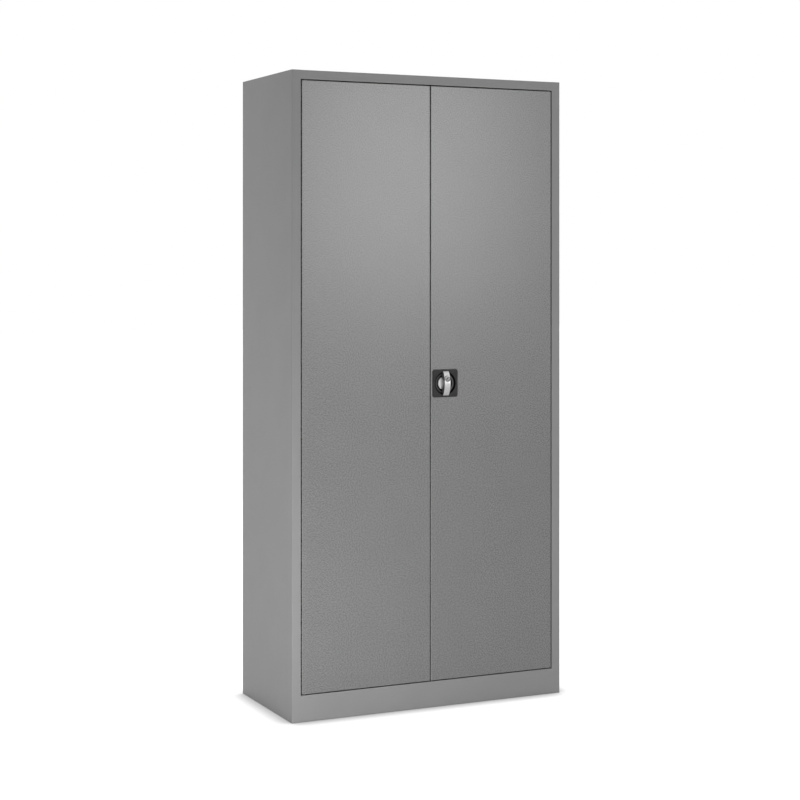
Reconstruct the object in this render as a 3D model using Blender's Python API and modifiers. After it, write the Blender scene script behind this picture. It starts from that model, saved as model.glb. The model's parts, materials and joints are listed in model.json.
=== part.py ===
"""A tall two-door steel cupboard with four adjustable shelves and a three-point rotary lock.

Metres, +Z up. The front looks along -Y. The origin is on the floor, below the middle of the
whole object's box, which the handle makes deeper than the cupboard alone.
"""

import math

import bmesh
import bpy
from mathutils import Matrix, Vector

# The carcass
HEIGHT = 1.950
WIDTH = 0.920
DEPTH = 0.420
SHEET = 0.0008
FOLD_RADIUS = 0.0016
STILE_FACE = 0.0292
HEADER_FACE = 0.0276
PLINTH_FACE = 0.080
PLINTH_RETURN = 0.020
STOP_LIP = 0.012
SIDE_REAR_FLANGE = 0.020
PANEL_FLANGE = 0.020

# Clearances: between pieces that touch, and round pieces that turn or slide
SEAT_GAP = 0.0003
RUN_GAP = 0.0004
CUT_OVERRUN = 0.002
UNION_OVERLAP = 0.0005

# Doors, on hidden pins at their top and bottom edges
DOOR_GAP = 0.003
DOOR_DEPTH = 0.018
DOOR_SIDE_LIP = 0.012
DOOR_END_LIP = 0.025
PIVOT_INSET = 0.010
PIVOT_DEPTH = 0.007
PIN_RADIUS = 0.003
PIN_REACH = 0.008
PIN_HEAD_RADIUS = 0.005
PIN_HEAD_THICKNESS = 0.002
BUSH_RADIUS = 0.005
BUSH_FLANGE_RADIUS = 0.0062
BUSH_DEPTH = 0.004
BUFFER_RADIUS = 0.0045
BUFFER_THICKNESS = 0.004
STIFFENER_WIDTH = 0.040
STIFFENER_DEPTH = 0.014
STIFFENER_FLANGE = 0.010

# Shelves on clips in slotted posts
SHELF_COUNT = 4
SHELF_DEPTH = 0.025
SHELF_LIP = 0.012
SHELF_FRONT = 0.042
SHELF_SIDE_CLEARANCE = 0.0015
SHELF_BACK_CLEARANCE = 0.005
POST_FACE = 0.025
POST_DEPTH = 0.012
POST_FLANGE = 0.008
POST_TOP_CLEARANCE = 0.001
SLOT_PITCH = 0.060
SLOT_WIDTH = 0.012
SLOT_HEIGHT = 0.005
FIRST_SLOT_HEIGHT = 0.130
LAST_SLOT_MARGIN = 0.030
CLIP_SHEET = 0.0012
CLIP_WIDTH = 0.011
CLIP_HOOK = 0.004
CLIP_DROP = 0.012
CLIP_LEDGE = 0.014

# Handle plate with its round bowl
LOCK_HEIGHT = 1.000
LOCK_BACKSET = 0.0485
PLATE_SIDE = 0.086
PLATE_CORNER = 0.007
PLATE_THICKNESS = 0.0027
BOWL_RIM_RADIUS = 0.03575
BOWL_FLOOR_RADIUS = 0.0215
BOWL_WALL = 0.002
BOWL_RIM_DROP = 0.0003
BOSS_RADIUS = 0.004
BOSS_OFFSET = 0.0305

# Turning handle: a bowed grip on a disc at the bottom of the bowl
GRIP_LENGTH = 0.0756
GRIP_WIDTH_MIDDLE = 0.0207
GRIP_WIDTH_END = 0.0195
GRIP_RISE_MIDDLE = 0.0167
GRIP_RISE_END = 0.0037
GRIP_END_CLEARANCE = 0.0005
GRIP_RIM_INSET = 0.0033
GRIP_SINK = 0.004
GRIP_EDGE = 0.0009
GRIP_NECK_HALF = 0.0165
GRIP_NECK_FILLET = 0.0025
GRIP_PANEL_WIDTH = 0.0083
GRIP_PANEL_DEPTH = 0.0006
GRIP_PANEL_END = 0.0060
DISC_RADIUS = 0.020
DISC_RECESS = 0.011
DISC_THICKNESS = 0.003
HUB_RADIUS = 0.008
SPUR_SIDE = 0.006

# Lock cylinder in the grip
CYLINDER_RADIUS = 0.00925
CYLINDER_OFFSET = 0.015
CYLINDER_FLOOR = 0.002
PLUG_RADIUS = 0.005
PLUG_RECESS = 0.0002
TAIL_RADIUS = 0.002
KEY_SLOT_WIDTH = 0.0018
KEY_SLOT_LENGTH = 0.0080
KEY_SLOT_DEPTH = 0.008
KEY_SLOT_LEAN = math.radians(-36)

# Lock works behind the door
CASE_SIDE = 0.073
CASE_WALL = 0.001
CASE_CLEARANCE = 0.0006
CRANK_RADIUS = 0.013
CRANK_THICKNESS = 0.002
CRANK_THROW_RADIUS = 0.0092
CRANK_PIN_RADIUS = 0.0015
CRANK_REST_ANGLE = math.radians(45)
LAYER_GAP = 0.0005
ROD_WIDTH = 0.010
ROD_THICKNESS = 0.0025
ROD_BEHIND_STOP = 0.0016
ROD_TIP_CLEARANCE = 0.0025
ROD_TIP_CHAMFER = 0.002
FORK_CLEARANCE = 0.0006
FORK_PRONG = 0.003
BOLT_WIDTH = 0.012
BOLT_WALL = 0.004
BOLT_TIP_FROM_EDGE = 0.0028
SCREW_RADIUS = 0.0018
SCREW_HEAD_RADIUS = 0.0035
SCREW_HEAD_THICKNESS = 0.0022
SCREW_LENGTH = 0.008
SPINDLE_SCREW_RADIUS = 0.0015
SPINDLE_SCREW_HEAD_RADIUS = 0.0045
STRAP_SHEET = 0.0012
STRAP_WIDTH = 0.008
STRAP_FLANGE = 0.008
KEEPER_WIDTH = 0.0096

# How finely round shapes are faceted
FOLD_STEPS = 2
ROUND_SIDES = 24
CYLINDER_SIDES = 32
BOWL_SIDES = 40
CORNER_STEPS = 5
GRIP_STEPS = 14
BEVEL_ANGLE = math.radians(35)
SMOOTH_ANGLE = math.radians(35)
WELD = 0.00001

# The handle stands out in front of the doors, and the origin allows for it
PLATE_FRONT = SEAT_GAP + PLATE_THICKNESS
HANDLE_PROUD = PLATE_FRONT + GRIP_RISE_MIDDLE
FRONT_Y = (HANDLE_PROUD - DEPTH) / 2

# Places that several pieces share, as depths behind the front face
STOP_DEPTH = DOOR_DEPTH + BUFFER_THICKNESS + 2 * SEAT_GAP
RETURN_DEPTH = STOP_DEPTH + SHEET
SIDE_INNER = WIDTH / 2 - SHEET - SEAT_GAP
STILE_INNER = WIDTH / 2 - STILE_FACE
BACK_INNER = DEPTH - SHEET - SEAT_GAP
PANEL_REAR = BACK_INNER - SHEET - SEAT_GAP
FLOOR_TOP = PLINTH_FACE + STOP_LIP
HEADER_BOTTOM = HEIGHT - HEADER_FACE
HEADER_LIP_BOTTOM = HEADER_BOTTOM - STOP_LIP

DOOR_WIDTH = (2 * STILE_INNER - 3 * DOOR_GAP) / 2
DOOR_BOTTOM = PLINTH_FACE + DOOR_GAP
DOOR_TOP = HEADER_BOTTOM - DOOR_GAP
DOOR_HEIGHT = DOOR_TOP - DOOR_BOTTOM
DOOR_MIDDLE = DOOR_GAP / 2 + DOOR_WIDTH / 2
PIVOT_X = DOOR_GAP / 2 + DOOR_WIDTH - PIVOT_INSET

POST_FACE_X = SIDE_INNER - POST_DEPTH
SHELF_HALF_WIDTH = POST_FACE_X - SEAT_GAP - CLIP_SHEET - SHELF_SIDE_CLEARANCE
SHELF_REAR = PANEL_REAR - SHEET - SHELF_BACK_CLEARANCE
FRONT_POST_DEPTH = SHELF_FRONT + POST_FLANGE + POST_FACE / 2
REAR_POST_DEPTH = SHELF_REAR - POST_FLANGE - POST_FACE / 2
POST_BOTTOM = FLOOR_TOP + SEAT_GAP
POST_TOP = HEIGHT - PANEL_FLANGE - POST_TOP_CLEARANCE
SLOT_COUNT = 1 + int((POST_TOP - LAST_SLOT_MARGIN - FIRST_SLOT_HEIGHT) / SLOT_PITCH)

# Levels in the lock, counted out of the door's face towards the front
LOCK_X = DOOR_GAP / 2 + LOCK_BACKSET
DISC_FRONT = PLATE_FRONT - DISC_RECESS
DISC_BACK = DISC_FRONT - DISC_THICKNESS
BOWL_FLOOR = DISC_BACK - RUN_GAP
BOWL_BACK = BOWL_FLOOR - BOWL_WALL
CASE_RIM = BOWL_BACK - CASE_CLEARANCE
ROD_FRONT = -(RETURN_DEPTH + ROD_BEHIND_STOP)
ROD_BACK = ROD_FRONT - ROD_THICKNESS
BOLT_FRONT = ROD_BACK - LAYER_GAP
BOLT_BACK = BOLT_FRONT - ROD_THICKNESS
CASE_FLOOR = BOLT_BACK - LAYER_GAP
CASE_BACK = CASE_FLOOR - CASE_WALL
CRANK_BACK = ROD_FRONT + LAYER_GAP
CRANK_FRONT = CRANK_BACK + CRANK_THICKNESS
HUB_END = CRANK_FRONT + SEAT_GAP
PIN_AT_REST = CRANK_THROW_RADIUS * math.sin(CRANK_REST_ANGLE)
FORK_HALF = CRANK_PIN_RADIUS + FORK_CLEARANCE
ROD_NEAR = CRANK_THROW_RADIUS + CRANK_PIN_RADIUS + 2 * FORK_CLEARANCE
ROD_OFFSET = ROD_NEAR + ROD_WIDTH / 2
GRIP_RADIUS = (
    (GRIP_LENGTH / 2) ** 2 + (GRIP_RISE_MIDDLE - GRIP_RISE_END) ** 2
) / (2 * (GRIP_RISE_MIDDLE - GRIP_RISE_END))

# For each axis of extrusion, the two axes that a flat outline is drawn in
OUTLINE_AXES = {"X": (1, 2), "Y": (2, 0), "Z": (0, 1)}
# Turns a piece built with its top towards +Z so that it faces the front or the back
FACE_FRONT = math.radians(90)
FACE_BACK = math.radians(-90)
UPSIDE_DOWN = math.radians(180)


def clear_scene():
    for obj in list(bpy.data.objects):
        bpy.data.objects.remove(obj)


def make_collection(name):
    collection = bpy.data.collections.new(name)
    bpy.context.scene.collection.children.link(collection)
    return collection


def make_material(name, colour, roughness, metallic):
    material = bpy.data.materials.new(name)
    material.use_nodes = True
    shader = material.node_tree.nodes["Principled BSDF"]
    shader.inputs["Base Color"].default_value = (*colour, 1)
    shader.inputs["Roughness"].default_value = roughness
    shader.inputs["Metallic"].default_value = metallic
    return material


def at_depth(depth):
    """World Y of a place this far behind the front face."""
    return FRONT_Y + depth


def smooth(mesh):
    mesh.shade_smooth()
    mesh.set_sharp_from_angle(angle=SMOOTH_ANGLE)


def mesh_from(shape, name):
    mesh = bpy.data.meshes.new(name)
    shape.to_mesh(mesh)
    shape.free()
    return mesh


def add_part(name, mesh, material, place=(0, 0, 0), turn=0):
    """A node of the cupboard. The turn is about X."""
    obj = bpy.data.objects.new(name, mesh)
    obj.location = place
    obj.rotation_euler = (turn, 0, 0)
    if not mesh.materials:
        mesh.materials.append(material)
    PARTS.objects.link(obj)
    return obj


def add_tool(name, mesh, place=(0, 0, 0), turn=0):
    """A hidden shape that is cut from a part or joined to it."""
    obj = bpy.data.objects.new(name, mesh)
    obj.location = place
    obj.rotation_euler = (turn, 0, 0)
    obj.hide_render = True
    obj.display_type = "WIRE"
    TOOLS.objects.link(obj)
    return obj


def combine(part, tool, operation):
    modifier = part.modifiers.new(tool.name, "BOOLEAN")
    modifier.operation = operation
    modifier.object = tool
    return modifier


def cut(part, tool):
    return combine(part, tool, "DIFFERENCE")


def join(part, tool):
    return combine(part, tool, "UNION")


def add_axis(name, place, turn=0):
    """An empty on a joint's axis."""
    axis = bpy.data.objects.new(name, None)
    axis.location = place
    axis.rotation_euler = (turn, 0, 0)
    PARTS.objects.link(axis)
    bpy.context.view_layer.update()
    return axis


def carry(axis, *objects):
    """The objects move with the axis, and stay where they stand."""
    bpy.context.view_layer.update()
    for obj in objects:
        obj.parent = axis
        obj.matrix_parent_inverse = axis.matrix_world.inverted()


def mirrored(line, index=0):
    """The outline of the same sheet on the other side of the cupboard."""
    flipped = [list(point) for point in reversed(line)]
    for point in flipped:
        point[index] = -point[index]
    return [tuple(point) for point in flipped]


def round_folds(obj, radius):
    bevel = obj.modifiers.new("folds", "BEVEL")
    bevel.width = radius
    bevel.segments = FOLD_STEPS
    bevel.limit_method = "ANGLE"
    bevel.angle_limit = BEVEL_ANGLE


def thicken(obj, thickness):
    """The modelled surface is the outer face, and the metal lies behind it."""
    solidify = obj.modifiers.new("sheet", "SOLIDIFY")
    solidify.thickness = thickness
    solidify.offset = -1
    solidify.use_even_offset = True


def extrude_line(line, axis, start, end):
    """An open surface from a flat outline. Its metal lies to the left of the line's travel."""
    first, second = OUTLINE_AXES[axis]
    third = "XYZ".index(axis)
    shape = bmesh.new()
    verts = []
    for point in line:
        corner = Vector((0, 0, 0))
        corner[first], corner[second] = point
        corner[third] = start
        verts.append(shape.verts.new(corner))
    edges = [shape.edges.new(pair) for pair in zip(verts, verts[1:])]
    step = Vector((0, 0, 0))
    step[third] = end - start
    grown = bmesh.ops.extrude_edge_only(shape, edges=edges)["geom"]
    moved = [item for item in grown if isinstance(item, bmesh.types.BMVert)]
    bmesh.ops.translate(shape, verts=moved, vec=step)
    travel = verts[1].co - verts[0].co
    orient(shape, verts[0].link_faces[0], travel.cross(step))
    return shape


def orient(shape, face, outward):
    """Turns the whole surface so that this face looks outward."""
    bmesh.ops.recalc_face_normals(shape, faces=shape.faces)
    shape.normal_update()
    if face.normal.dot(outward) < 0:
        bmesh.ops.reverse_faces(shape, faces=shape.faces)


def folded_sheet(name, line, axis, start, end, material, thickness=SHEET, radius=FOLD_RADIUS):
    obj = add_part(name, mesh_from(extrude_line(line, axis, start, end), name), material)
    if radius:
        round_folds(obj, radius)
    thicken(obj, thickness)
    return obj


def panel_with_front(name, line, material, tongue=None):
    """A flanged panel between the side panels, whose narrower front part fits between the stiles.

    The line runs from the rear flange over the panel to the front. Up to its third point, which
    lies behind the stiles' returns, the panel is as wide as the carcass allows. A tongue runs on
    past the outside of each return, to the depth that is given.
    """
    half = STILE_INNER - SEAT_GAP
    past_return = STILE_INNER + SHEET + SEAT_GAP
    shape = extrude_line(line, "X", -half, half)
    wide = line[:3]
    level = wide[1][1]
    relief = wide[2][0]
    for side in (-1, 1):
        ends = wide_end_edges(shape, wide, side * half)
        stepped = extrude_and_move(shape, ends, (side * (past_return - half), 0, 0))
        extrude_and_move(shape, stepped, (side * (SIDE_INNER - past_return), 0, 0))
        if tongue is not None:
            ends = [edge for edge in shape.edges if lies_along(edge, side, past_return, relief, level)]
            extrude_and_move(shape, ends, (0, tongue - relief, 0))
        outer = [edge for edge in shape.edges if lies_along(edge, side, SIDE_INNER, None, level)]
        extrude_and_move(shape, outer, (0, 0, -PANEL_FLANGE))
    bmesh.ops.remove_doubles(shape, verts=shape.verts, dist=WELD)
    shape.faces.ensure_lookup_table()
    highest = max(shape.faces, key=lambda face: face.calc_area())
    orient(shape, highest, Vector((0, 0, 1)))
    obj = add_part(name, mesh_from(shape, name), material)
    round_folds(obj, FOLD_RADIUS)
    thicken(obj, SHEET)
    return obj


def lies_along(edge, side, inner_x, y, level):
    """Whether the edge lies in the panel's face, no nearer the middle than inner_x, and at this y."""
    return all(
        side * vert.co.x > inner_x - WELD
        and abs(vert.co.z - level) < WELD
        and (y is None or abs(vert.co.y - y) < WELD)
        for vert in edge.verts
    )


def wide_end_edges(shape, wide, x):
    """The edges at one end of the extruded line that belong to its wide part."""
    found = []
    for edge in shape.edges:
        at_end = all(abs(vert.co.x - x) < WELD for vert in edge.verts)
        on_line = all(
            any(abs(vert.co.y - y) < WELD and abs(vert.co.z - z) < WELD for y, z in wide)
            for vert in edge.verts
        )
        if at_end and on_line:
            found.append(edge)
    return found


def extrude_and_move(shape, edges, move):
    """Grows new faces from the edges and returns the new edges that run along them."""
    grown = bmesh.ops.extrude_edge_only(shape, edges=edges)["geom"]
    verts = [item for item in grown if isinstance(item, bmesh.types.BMVert)]
    bmesh.ops.translate(shape, verts=verts, vec=move)
    kept = set(verts)
    return [
        item
        for item in grown
        if isinstance(item, bmesh.types.BMEdge) and kept.issuperset(item.verts)
    ]


def box_shape(width, length, height, centre=(0, 0, 0)):
    shape = bmesh.new()
    made = bmesh.ops.create_cube(shape, size=1)
    bmesh.ops.scale(shape, verts=made["verts"], vec=(width, length, height))
    bmesh.ops.translate(shape, verts=made["verts"], vec=centre)
    return shape


def lipped_pan(name, width, length, depth, side_lip, end_lip):
    """A pressed pan: its face looks along +Z at zero, and lips turn in from its folded edges."""
    shape = box_shape(width, length, depth, (0, 0, -depth / 2))
    shape.faces.ensure_lookup_table()
    opening = min(shape.faces, key=lambda face: face.calc_center_median().z)
    bmesh.ops.inset_individual(shape, faces=[opening], thickness=min(side_lip, end_lip))
    for vert in opening.verts:
        vert.co.x = math.copysign(width / 2 - side_lip, vert.co.x)
        vert.co.y = math.copysign(length / 2 - end_lip, vert.co.y)
    bmesh.ops.delete(shape, geom=[opening], context="FACES_ONLY")
    return mesh_from(shape, name)


def rod_shape(radius, low, high, sides=ROUND_SIDES, centre=(0, 0)):
    """A round bar along Z between two heights."""
    shape = bmesh.new()
    made = bmesh.ops.create_cone(
        shape,
        cap_ends=True,
        segments=sides,
        radius1=radius,
        radius2=radius,
        depth=high - low,
    )
    middle = (centre[0], centre[1], (low + high) / 2)
    bmesh.ops.translate(shape, verts=made["verts"], vec=middle)
    return shape


def turned_mesh(name, profile, closed=False):
    """The line that a Screw modifier turns. It runs down the outer side."""
    shape = bmesh.new()
    verts = [shape.verts.new((radius, 0, height)) for radius, height in profile]
    for pair in zip(verts, verts[1:]):
        shape.edges.new(pair)
    if closed:
        shape.edges.new((verts[-1], verts[0]))
    return mesh_from(shape, name)


def turn_profile(obj, sides=ROUND_SIDES):
    screw = obj.modifiers.new("turned", "SCREW")
    screw.steps = sides
    screw.render_steps = sides
    screw.use_merge_vertices = True
    screw.merge_threshold = WELD
    screw.use_smooth_shade = True


def flat_outline(name, points, thickness):
    """A mesh from a filled flat curve, half its thickness above and below zero."""
    curve = bpy.data.curves.new(name, "CURVE")
    curve.dimensions = "2D"
    curve.fill_mode = "BOTH"
    curve.extrude = thickness / 2
    spline = curve.splines.new("POLY")
    spline.points.add(len(points) - 1)
    for target, (across, along) in zip(spline.points, points):
        target.co = (across, along, 0, 1)
    spline.use_cyclic_u = True
    drawn = bpy.data.objects.new(name, curve)
    PARTS.objects.link(drawn)
    bpy.context.view_layer.update()
    graph = bpy.context.evaluated_depsgraph_get()
    mesh = bpy.data.meshes.new_from_object(drawn.evaluated_get(graph))
    bpy.data.objects.remove(drawn)
    shape = bmesh.new()
    shape.from_mesh(mesh)
    bmesh.ops.remove_doubles(shape, verts=shape.verts, dist=WELD)
    bmesh.ops.recalc_face_normals(shape, faces=shape.faces)
    shape.to_mesh(mesh)
    shape.free()
    mesh.name = name
    return mesh


def lock_place(x=0, up=0, out=0):
    """World place of a point counted from the lock's centre, out of the door's face."""
    return (LOCK_X + x, FRONT_Y - out, LOCK_HEIGHT + up)


# Carcass


def build_side_panels(material):
    line = [
        (-(WIDTH / 2 - SIDE_REAR_FLANGE), at_depth(BACK_INNER)),
        (-WIDTH / 2, at_depth(BACK_INNER)),
        (-WIDTH / 2, at_depth(0)),
        (-STILE_INNER, at_depth(0)),
        (-STILE_INNER, at_depth(RETURN_DEPTH)),
    ]
    folded_sheet("left_side_panel", line, "Z", 0, HEIGHT, material)
    folded_sheet("right_side_panel", mirrored(line), "Z", 0, HEIGHT, material)


def build_back_panel(material):
    """A flat sheet over the rear flanges of the side panels."""
    line = [(WIDTH / 2, at_depth(DEPTH)), (-WIDTH / 2, at_depth(DEPTH))]
    folded_sheet("back_panel", line, "Z", 0, HEIGHT, material, radius=0)


def build_top_panel(material):
    line = [
        (at_depth(PANEL_REAR), HEIGHT - PANEL_FLANGE),
        (at_depth(PANEL_REAR), HEIGHT),
        (at_depth(RETURN_DEPTH + SEAT_GAP), HEIGHT),
        (at_depth(0), HEIGHT),
        (at_depth(0), HEADER_BOTTOM),
        (at_depth(STOP_DEPTH), HEADER_BOTTOM),
        (at_depth(STOP_DEPTH), HEADER_LIP_BOTTOM),
    ]
    return panel_with_front("top_panel", line, material, at_depth(SHEET + FOLD_RADIUS))


def build_floor_pan(material):
    line = [
        (at_depth(PANEL_REAR), FLOOR_TOP - PANEL_FLANGE),
        (at_depth(PANEL_REAR), FLOOR_TOP),
        (at_depth(RETURN_DEPTH + FOLD_RADIUS + SEAT_GAP), FLOOR_TOP),
        (at_depth(STOP_DEPTH), FLOOR_TOP),
        (at_depth(STOP_DEPTH), PLINTH_FACE),
        (at_depth(0), PLINTH_FACE),
        (at_depth(0), 0),
        (at_depth(PLINTH_RETURN), 0),
    ]
    pan = panel_with_front("floor_pan", line, material)
    slot = box_shape(
        ROD_WIDTH + 2 * LAYER_GAP,
        ROD_THICKNESS + 2 * LAYER_GAP,
        SHEET + 2 * CUT_OVERRUN,
        (LOCK_X - ROD_OFFSET, FRONT_Y - (ROD_FRONT + ROD_BACK) / 2, FLOOR_TOP - SHEET / 2),
    )
    cut(pan, add_tool("rod_slot_cutter", mesh_from(slot, "rod_slot_cutter")))
    return pan


def drill_pivots(top_panel, floor_pan):
    """The holes that the pivot pins pass through in the header and in the ledge of the plinth."""
    levels = ((top_panel, HEADER_BOTTOM + SHEET / 2), (floor_pan, PLINTH_FACE - SHEET / 2))
    for side, x in (("left", -PIVOT_X), ("right", PIVOT_X)):
        for panel, level in levels:
            name = f"{side}_{panel.name}_pin_cutter"
            hole = rod_shape(PIN_RADIUS + SEAT_GAP, -CUT_OVERRUN, CUT_OVERRUN)
            place = (x, at_depth(PIVOT_DEPTH), level)
            cut(panel, add_tool(name, mesh_from(hole, name), place))


def slot_cutter(name, x, depth):
    """All the slots of one post as one cutter."""
    shape = bmesh.new()
    for row in range(SLOT_COUNT):
        made = bmesh.ops.create_cube(shape, size=1)
        size = (SHEET + CUT_OVERRUN, SLOT_WIDTH, SLOT_HEIGHT)
        bmesh.ops.scale(shape, verts=made["verts"], vec=size)
        place = (x, at_depth(depth), FIRST_SLOT_HEIGHT + row * SLOT_PITCH)
        bmesh.ops.translate(shape, verts=made["verts"], vec=place)
    return add_tool(name, mesh_from(shape, name))


def build_posts(material):
    for row, depth in (("front", FRONT_POST_DEPTH), ("rear", REAR_POST_DEPTH)):
        near = at_depth(depth - POST_FACE / 2)
        far = at_depth(depth + POST_FACE / 2)
        base = -(SIDE_INNER - SHEET)
        line = [
            (base, near - POST_FLANGE),
            (base, near),
            (-POST_FACE_X, near),
            (-POST_FACE_X, far),
            (base, far),
            (base, far + POST_FLANGE),
        ]
        for side, sign, outline in (("left", -1, line), ("right", 1, mirrored(line))):
            name = f"{row}_{side}_post"
            post = folded_sheet(name, outline, "Z", POST_BOTTOM, POST_TOP, material, radius=0)
            cutter = slot_cutter(f"{name}_slots", sign * (POST_FACE_X + SHEET / 2), depth)
            cut(post, cutter)


# Shelves


def shelf_levels():
    """Height of the slot row that each shelf hangs from, spread over the posts."""
    step = SLOT_COUNT // (SHELF_COUNT + 1)
    return [FIRST_SLOT_HEIGHT + step * (index + 1) * SLOT_PITCH for index in range(SHELF_COUNT)]


def build_clips(material):
    """Each clip hooks behind a post's face and turns in to a ledge under the shelf."""
    hook_x = -(POST_FACE_X + SHEET + SEAT_GAP)
    plate_x = -(POST_FACE_X - SEAT_GAP)
    ledge_x = plate_x + CLIP_SHEET + CLIP_LEDGE
    tongue = SEAT_GAP - SLOT_HEIGHT / 2
    line = [
        (tongue - CLIP_DROP, ledge_x),
        (tongue - CLIP_DROP, plate_x),
        (tongue, plate_x),
        (tongue, hook_x),
        (tongue - CLIP_HOOK, hook_x),
    ]
    for number, level in enumerate(shelf_levels(), 1):
        for row, depth in (("front", FRONT_POST_DEPTH), ("rear", REAR_POST_DEPTH)):
            for side, outline in (("left", line), ("right", mirrored(line, 1))):
                clip = folded_sheet(
                    f"shelf_{number}_clip_{row}_{side}",
                    outline,
                    "Y",
                    -CLIP_WIDTH / 2,
                    CLIP_WIDTH / 2,
                    material,
                    thickness=CLIP_SHEET,
                    radius=0,
                )
                clip.location = (0, at_depth(depth), level)


def build_shelves(material):
    length = SHELF_REAR - SHELF_FRONT
    mesh = lipped_pan("shelf", 2 * SHELF_HALF_WIDTH, length, SHELF_DEPTH, SHELF_LIP, SHELF_LIP)
    seat = SEAT_GAP - SLOT_HEIGHT / 2 - CLIP_DROP + CLIP_SHEET + SEAT_GAP
    for number, level in enumerate(shelf_levels(), 1):
        place = (0, at_depth((SHELF_FRONT + SHELF_REAR) / 2), level + seat + SHELF_DEPTH)
        shelf = add_part(f"shelf_{number}", mesh, material, place)
        round_folds(shelf, FOLD_RADIUS)
        thicken(shelf, SHEET)


# Doors


def build_door(side, sign, material):
    mesh = lipped_pan(
        f"{side}_door_panel", DOOR_WIDTH, DOOR_HEIGHT, DOOR_DEPTH, DOOR_SIDE_LIP, DOOR_END_LIP
    )
    place = (sign * DOOR_MIDDLE, at_depth(0), (DOOR_BOTTOM + DOOR_TOP) / 2)
    door = add_part(f"{side}_door_panel", mesh, material, place, FACE_FRONT)
    round_folds(door, FOLD_RADIUS)
    thicken(door, SHEET)
    return door


def build_stiffener(side, sign, material):
    """A hat section inside the door's face."""
    base = at_depth(SHEET + SEAT_GAP)
    crown = base + STIFFENER_DEPTH
    near = sign * DOOR_MIDDLE - STIFFENER_WIDTH / 2
    far = sign * DOOR_MIDDLE + STIFFENER_WIDTH / 2
    line = [
        (near - STIFFENER_FLANGE, base),
        (near, base),
        (near, crown),
        (far, crown),
        (far, base),
        (far + STIFFENER_FLANGE, base),
    ]
    low = DOOR_BOTTOM + SHEET + FOLD_RADIUS
    high = DOOR_TOP - SHEET - FOLD_RADIUS
    return folded_sheet(f"{side}_door_stiffener", line, "Z", low, high, material)


def pivot_pin_mesh():
    shank = SEAT_GAP + SHEET + DOOR_GAP + PIN_REACH
    profile = [
        (0, PIN_HEAD_THICKNESS),
        (PIN_HEAD_RADIUS, PIN_HEAD_THICKNESS),
        (PIN_HEAD_RADIUS, 0),
        (PIN_RADIUS, 0),
        (PIN_RADIUS, -shank),
        (0, -shank),
    ]
    return turned_mesh("pivot_pin", profile)


def pivot_bush_mesh():
    bore = PIN_RADIUS + RUN_GAP
    flange = DOOR_GAP - 2 * SEAT_GAP
    profile = [
        (bore, flange),
        (BUSH_FLANGE_RADIUS, flange),
        (BUSH_FLANGE_RADIUS, 0),
        (BUSH_RADIUS, 0),
        (BUSH_RADIUS, -BUSH_DEPTH),
        (bore, -BUSH_DEPTH),
    ]
    return turned_mesh("pivot_bush", profile, closed=True)


def build_pivots(side, sign, door, steel, nylon):
    """Pins in the frame and flanged bushes in the door's top and bottom edges."""
    x = sign * PIVOT_X
    y = at_depth(PIVOT_DEPTH)
    ends = (
        ("upper", 0, HEADER_BOTTOM + SHEET + SEAT_GAP, DOOR_TOP, SEAT_GAP),
        ("lower", UPSIDE_DOWN, PLINTH_FACE - SHEET - SEAT_GAP, DOOR_BOTTOM, -SEAT_GAP),
    )
    bushes = []
    for end, turn, pin_level, door_level, lift in ends:
        pin = add_part(f"{side}_{end}_pivot_pin", PIN_MESH, steel, (x, y, pin_level), turn)
        turn_profile(pin)
        bush = add_part(f"{side}_{end}_bush", BUSH_MESH, nylon, (x, y, door_level + lift), turn)
        turn_profile(bush)
        bushes.append(bush)
        name = f"{side}_{end}_bush_cutter"
        hole = rod_shape(BUSH_RADIUS + SEAT_GAP, -CUT_OVERRUN, CUT_OVERRUN)
        cut(door, add_tool(name, mesh_from(hole, name), (x, y, door_level)))
    return bushes


def build_buffers(rubber):
    """Four pads on the stop lips, behind the doors' free corners."""
    mesh = mesh_from(rod_shape(BUFFER_RADIUS, 0, BUFFER_THICKNESS), "buffer")
    smooth(mesh)
    x = DOOR_GAP / 2 + DOOR_SIDE_LIP / 2 + FOLD_RADIUS
    levels = (
        ("upper", (DOOR_TOP + HEADER_LIP_BOTTOM) / 2),
        ("lower", (DOOR_BOTTOM + FLOOR_TOP) / 2),
    )
    for side, sign in (("left", -1), ("right", 1)):
        for end, level in levels:
            place = (sign * x, at_depth(STOP_DEPTH - SEAT_GAP), level)
            add_part(f"{side}_{end}_buffer", mesh, rubber, place, FACE_FRONT)


# Handle plate and turning handle, built with +Z out of the door's face


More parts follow.
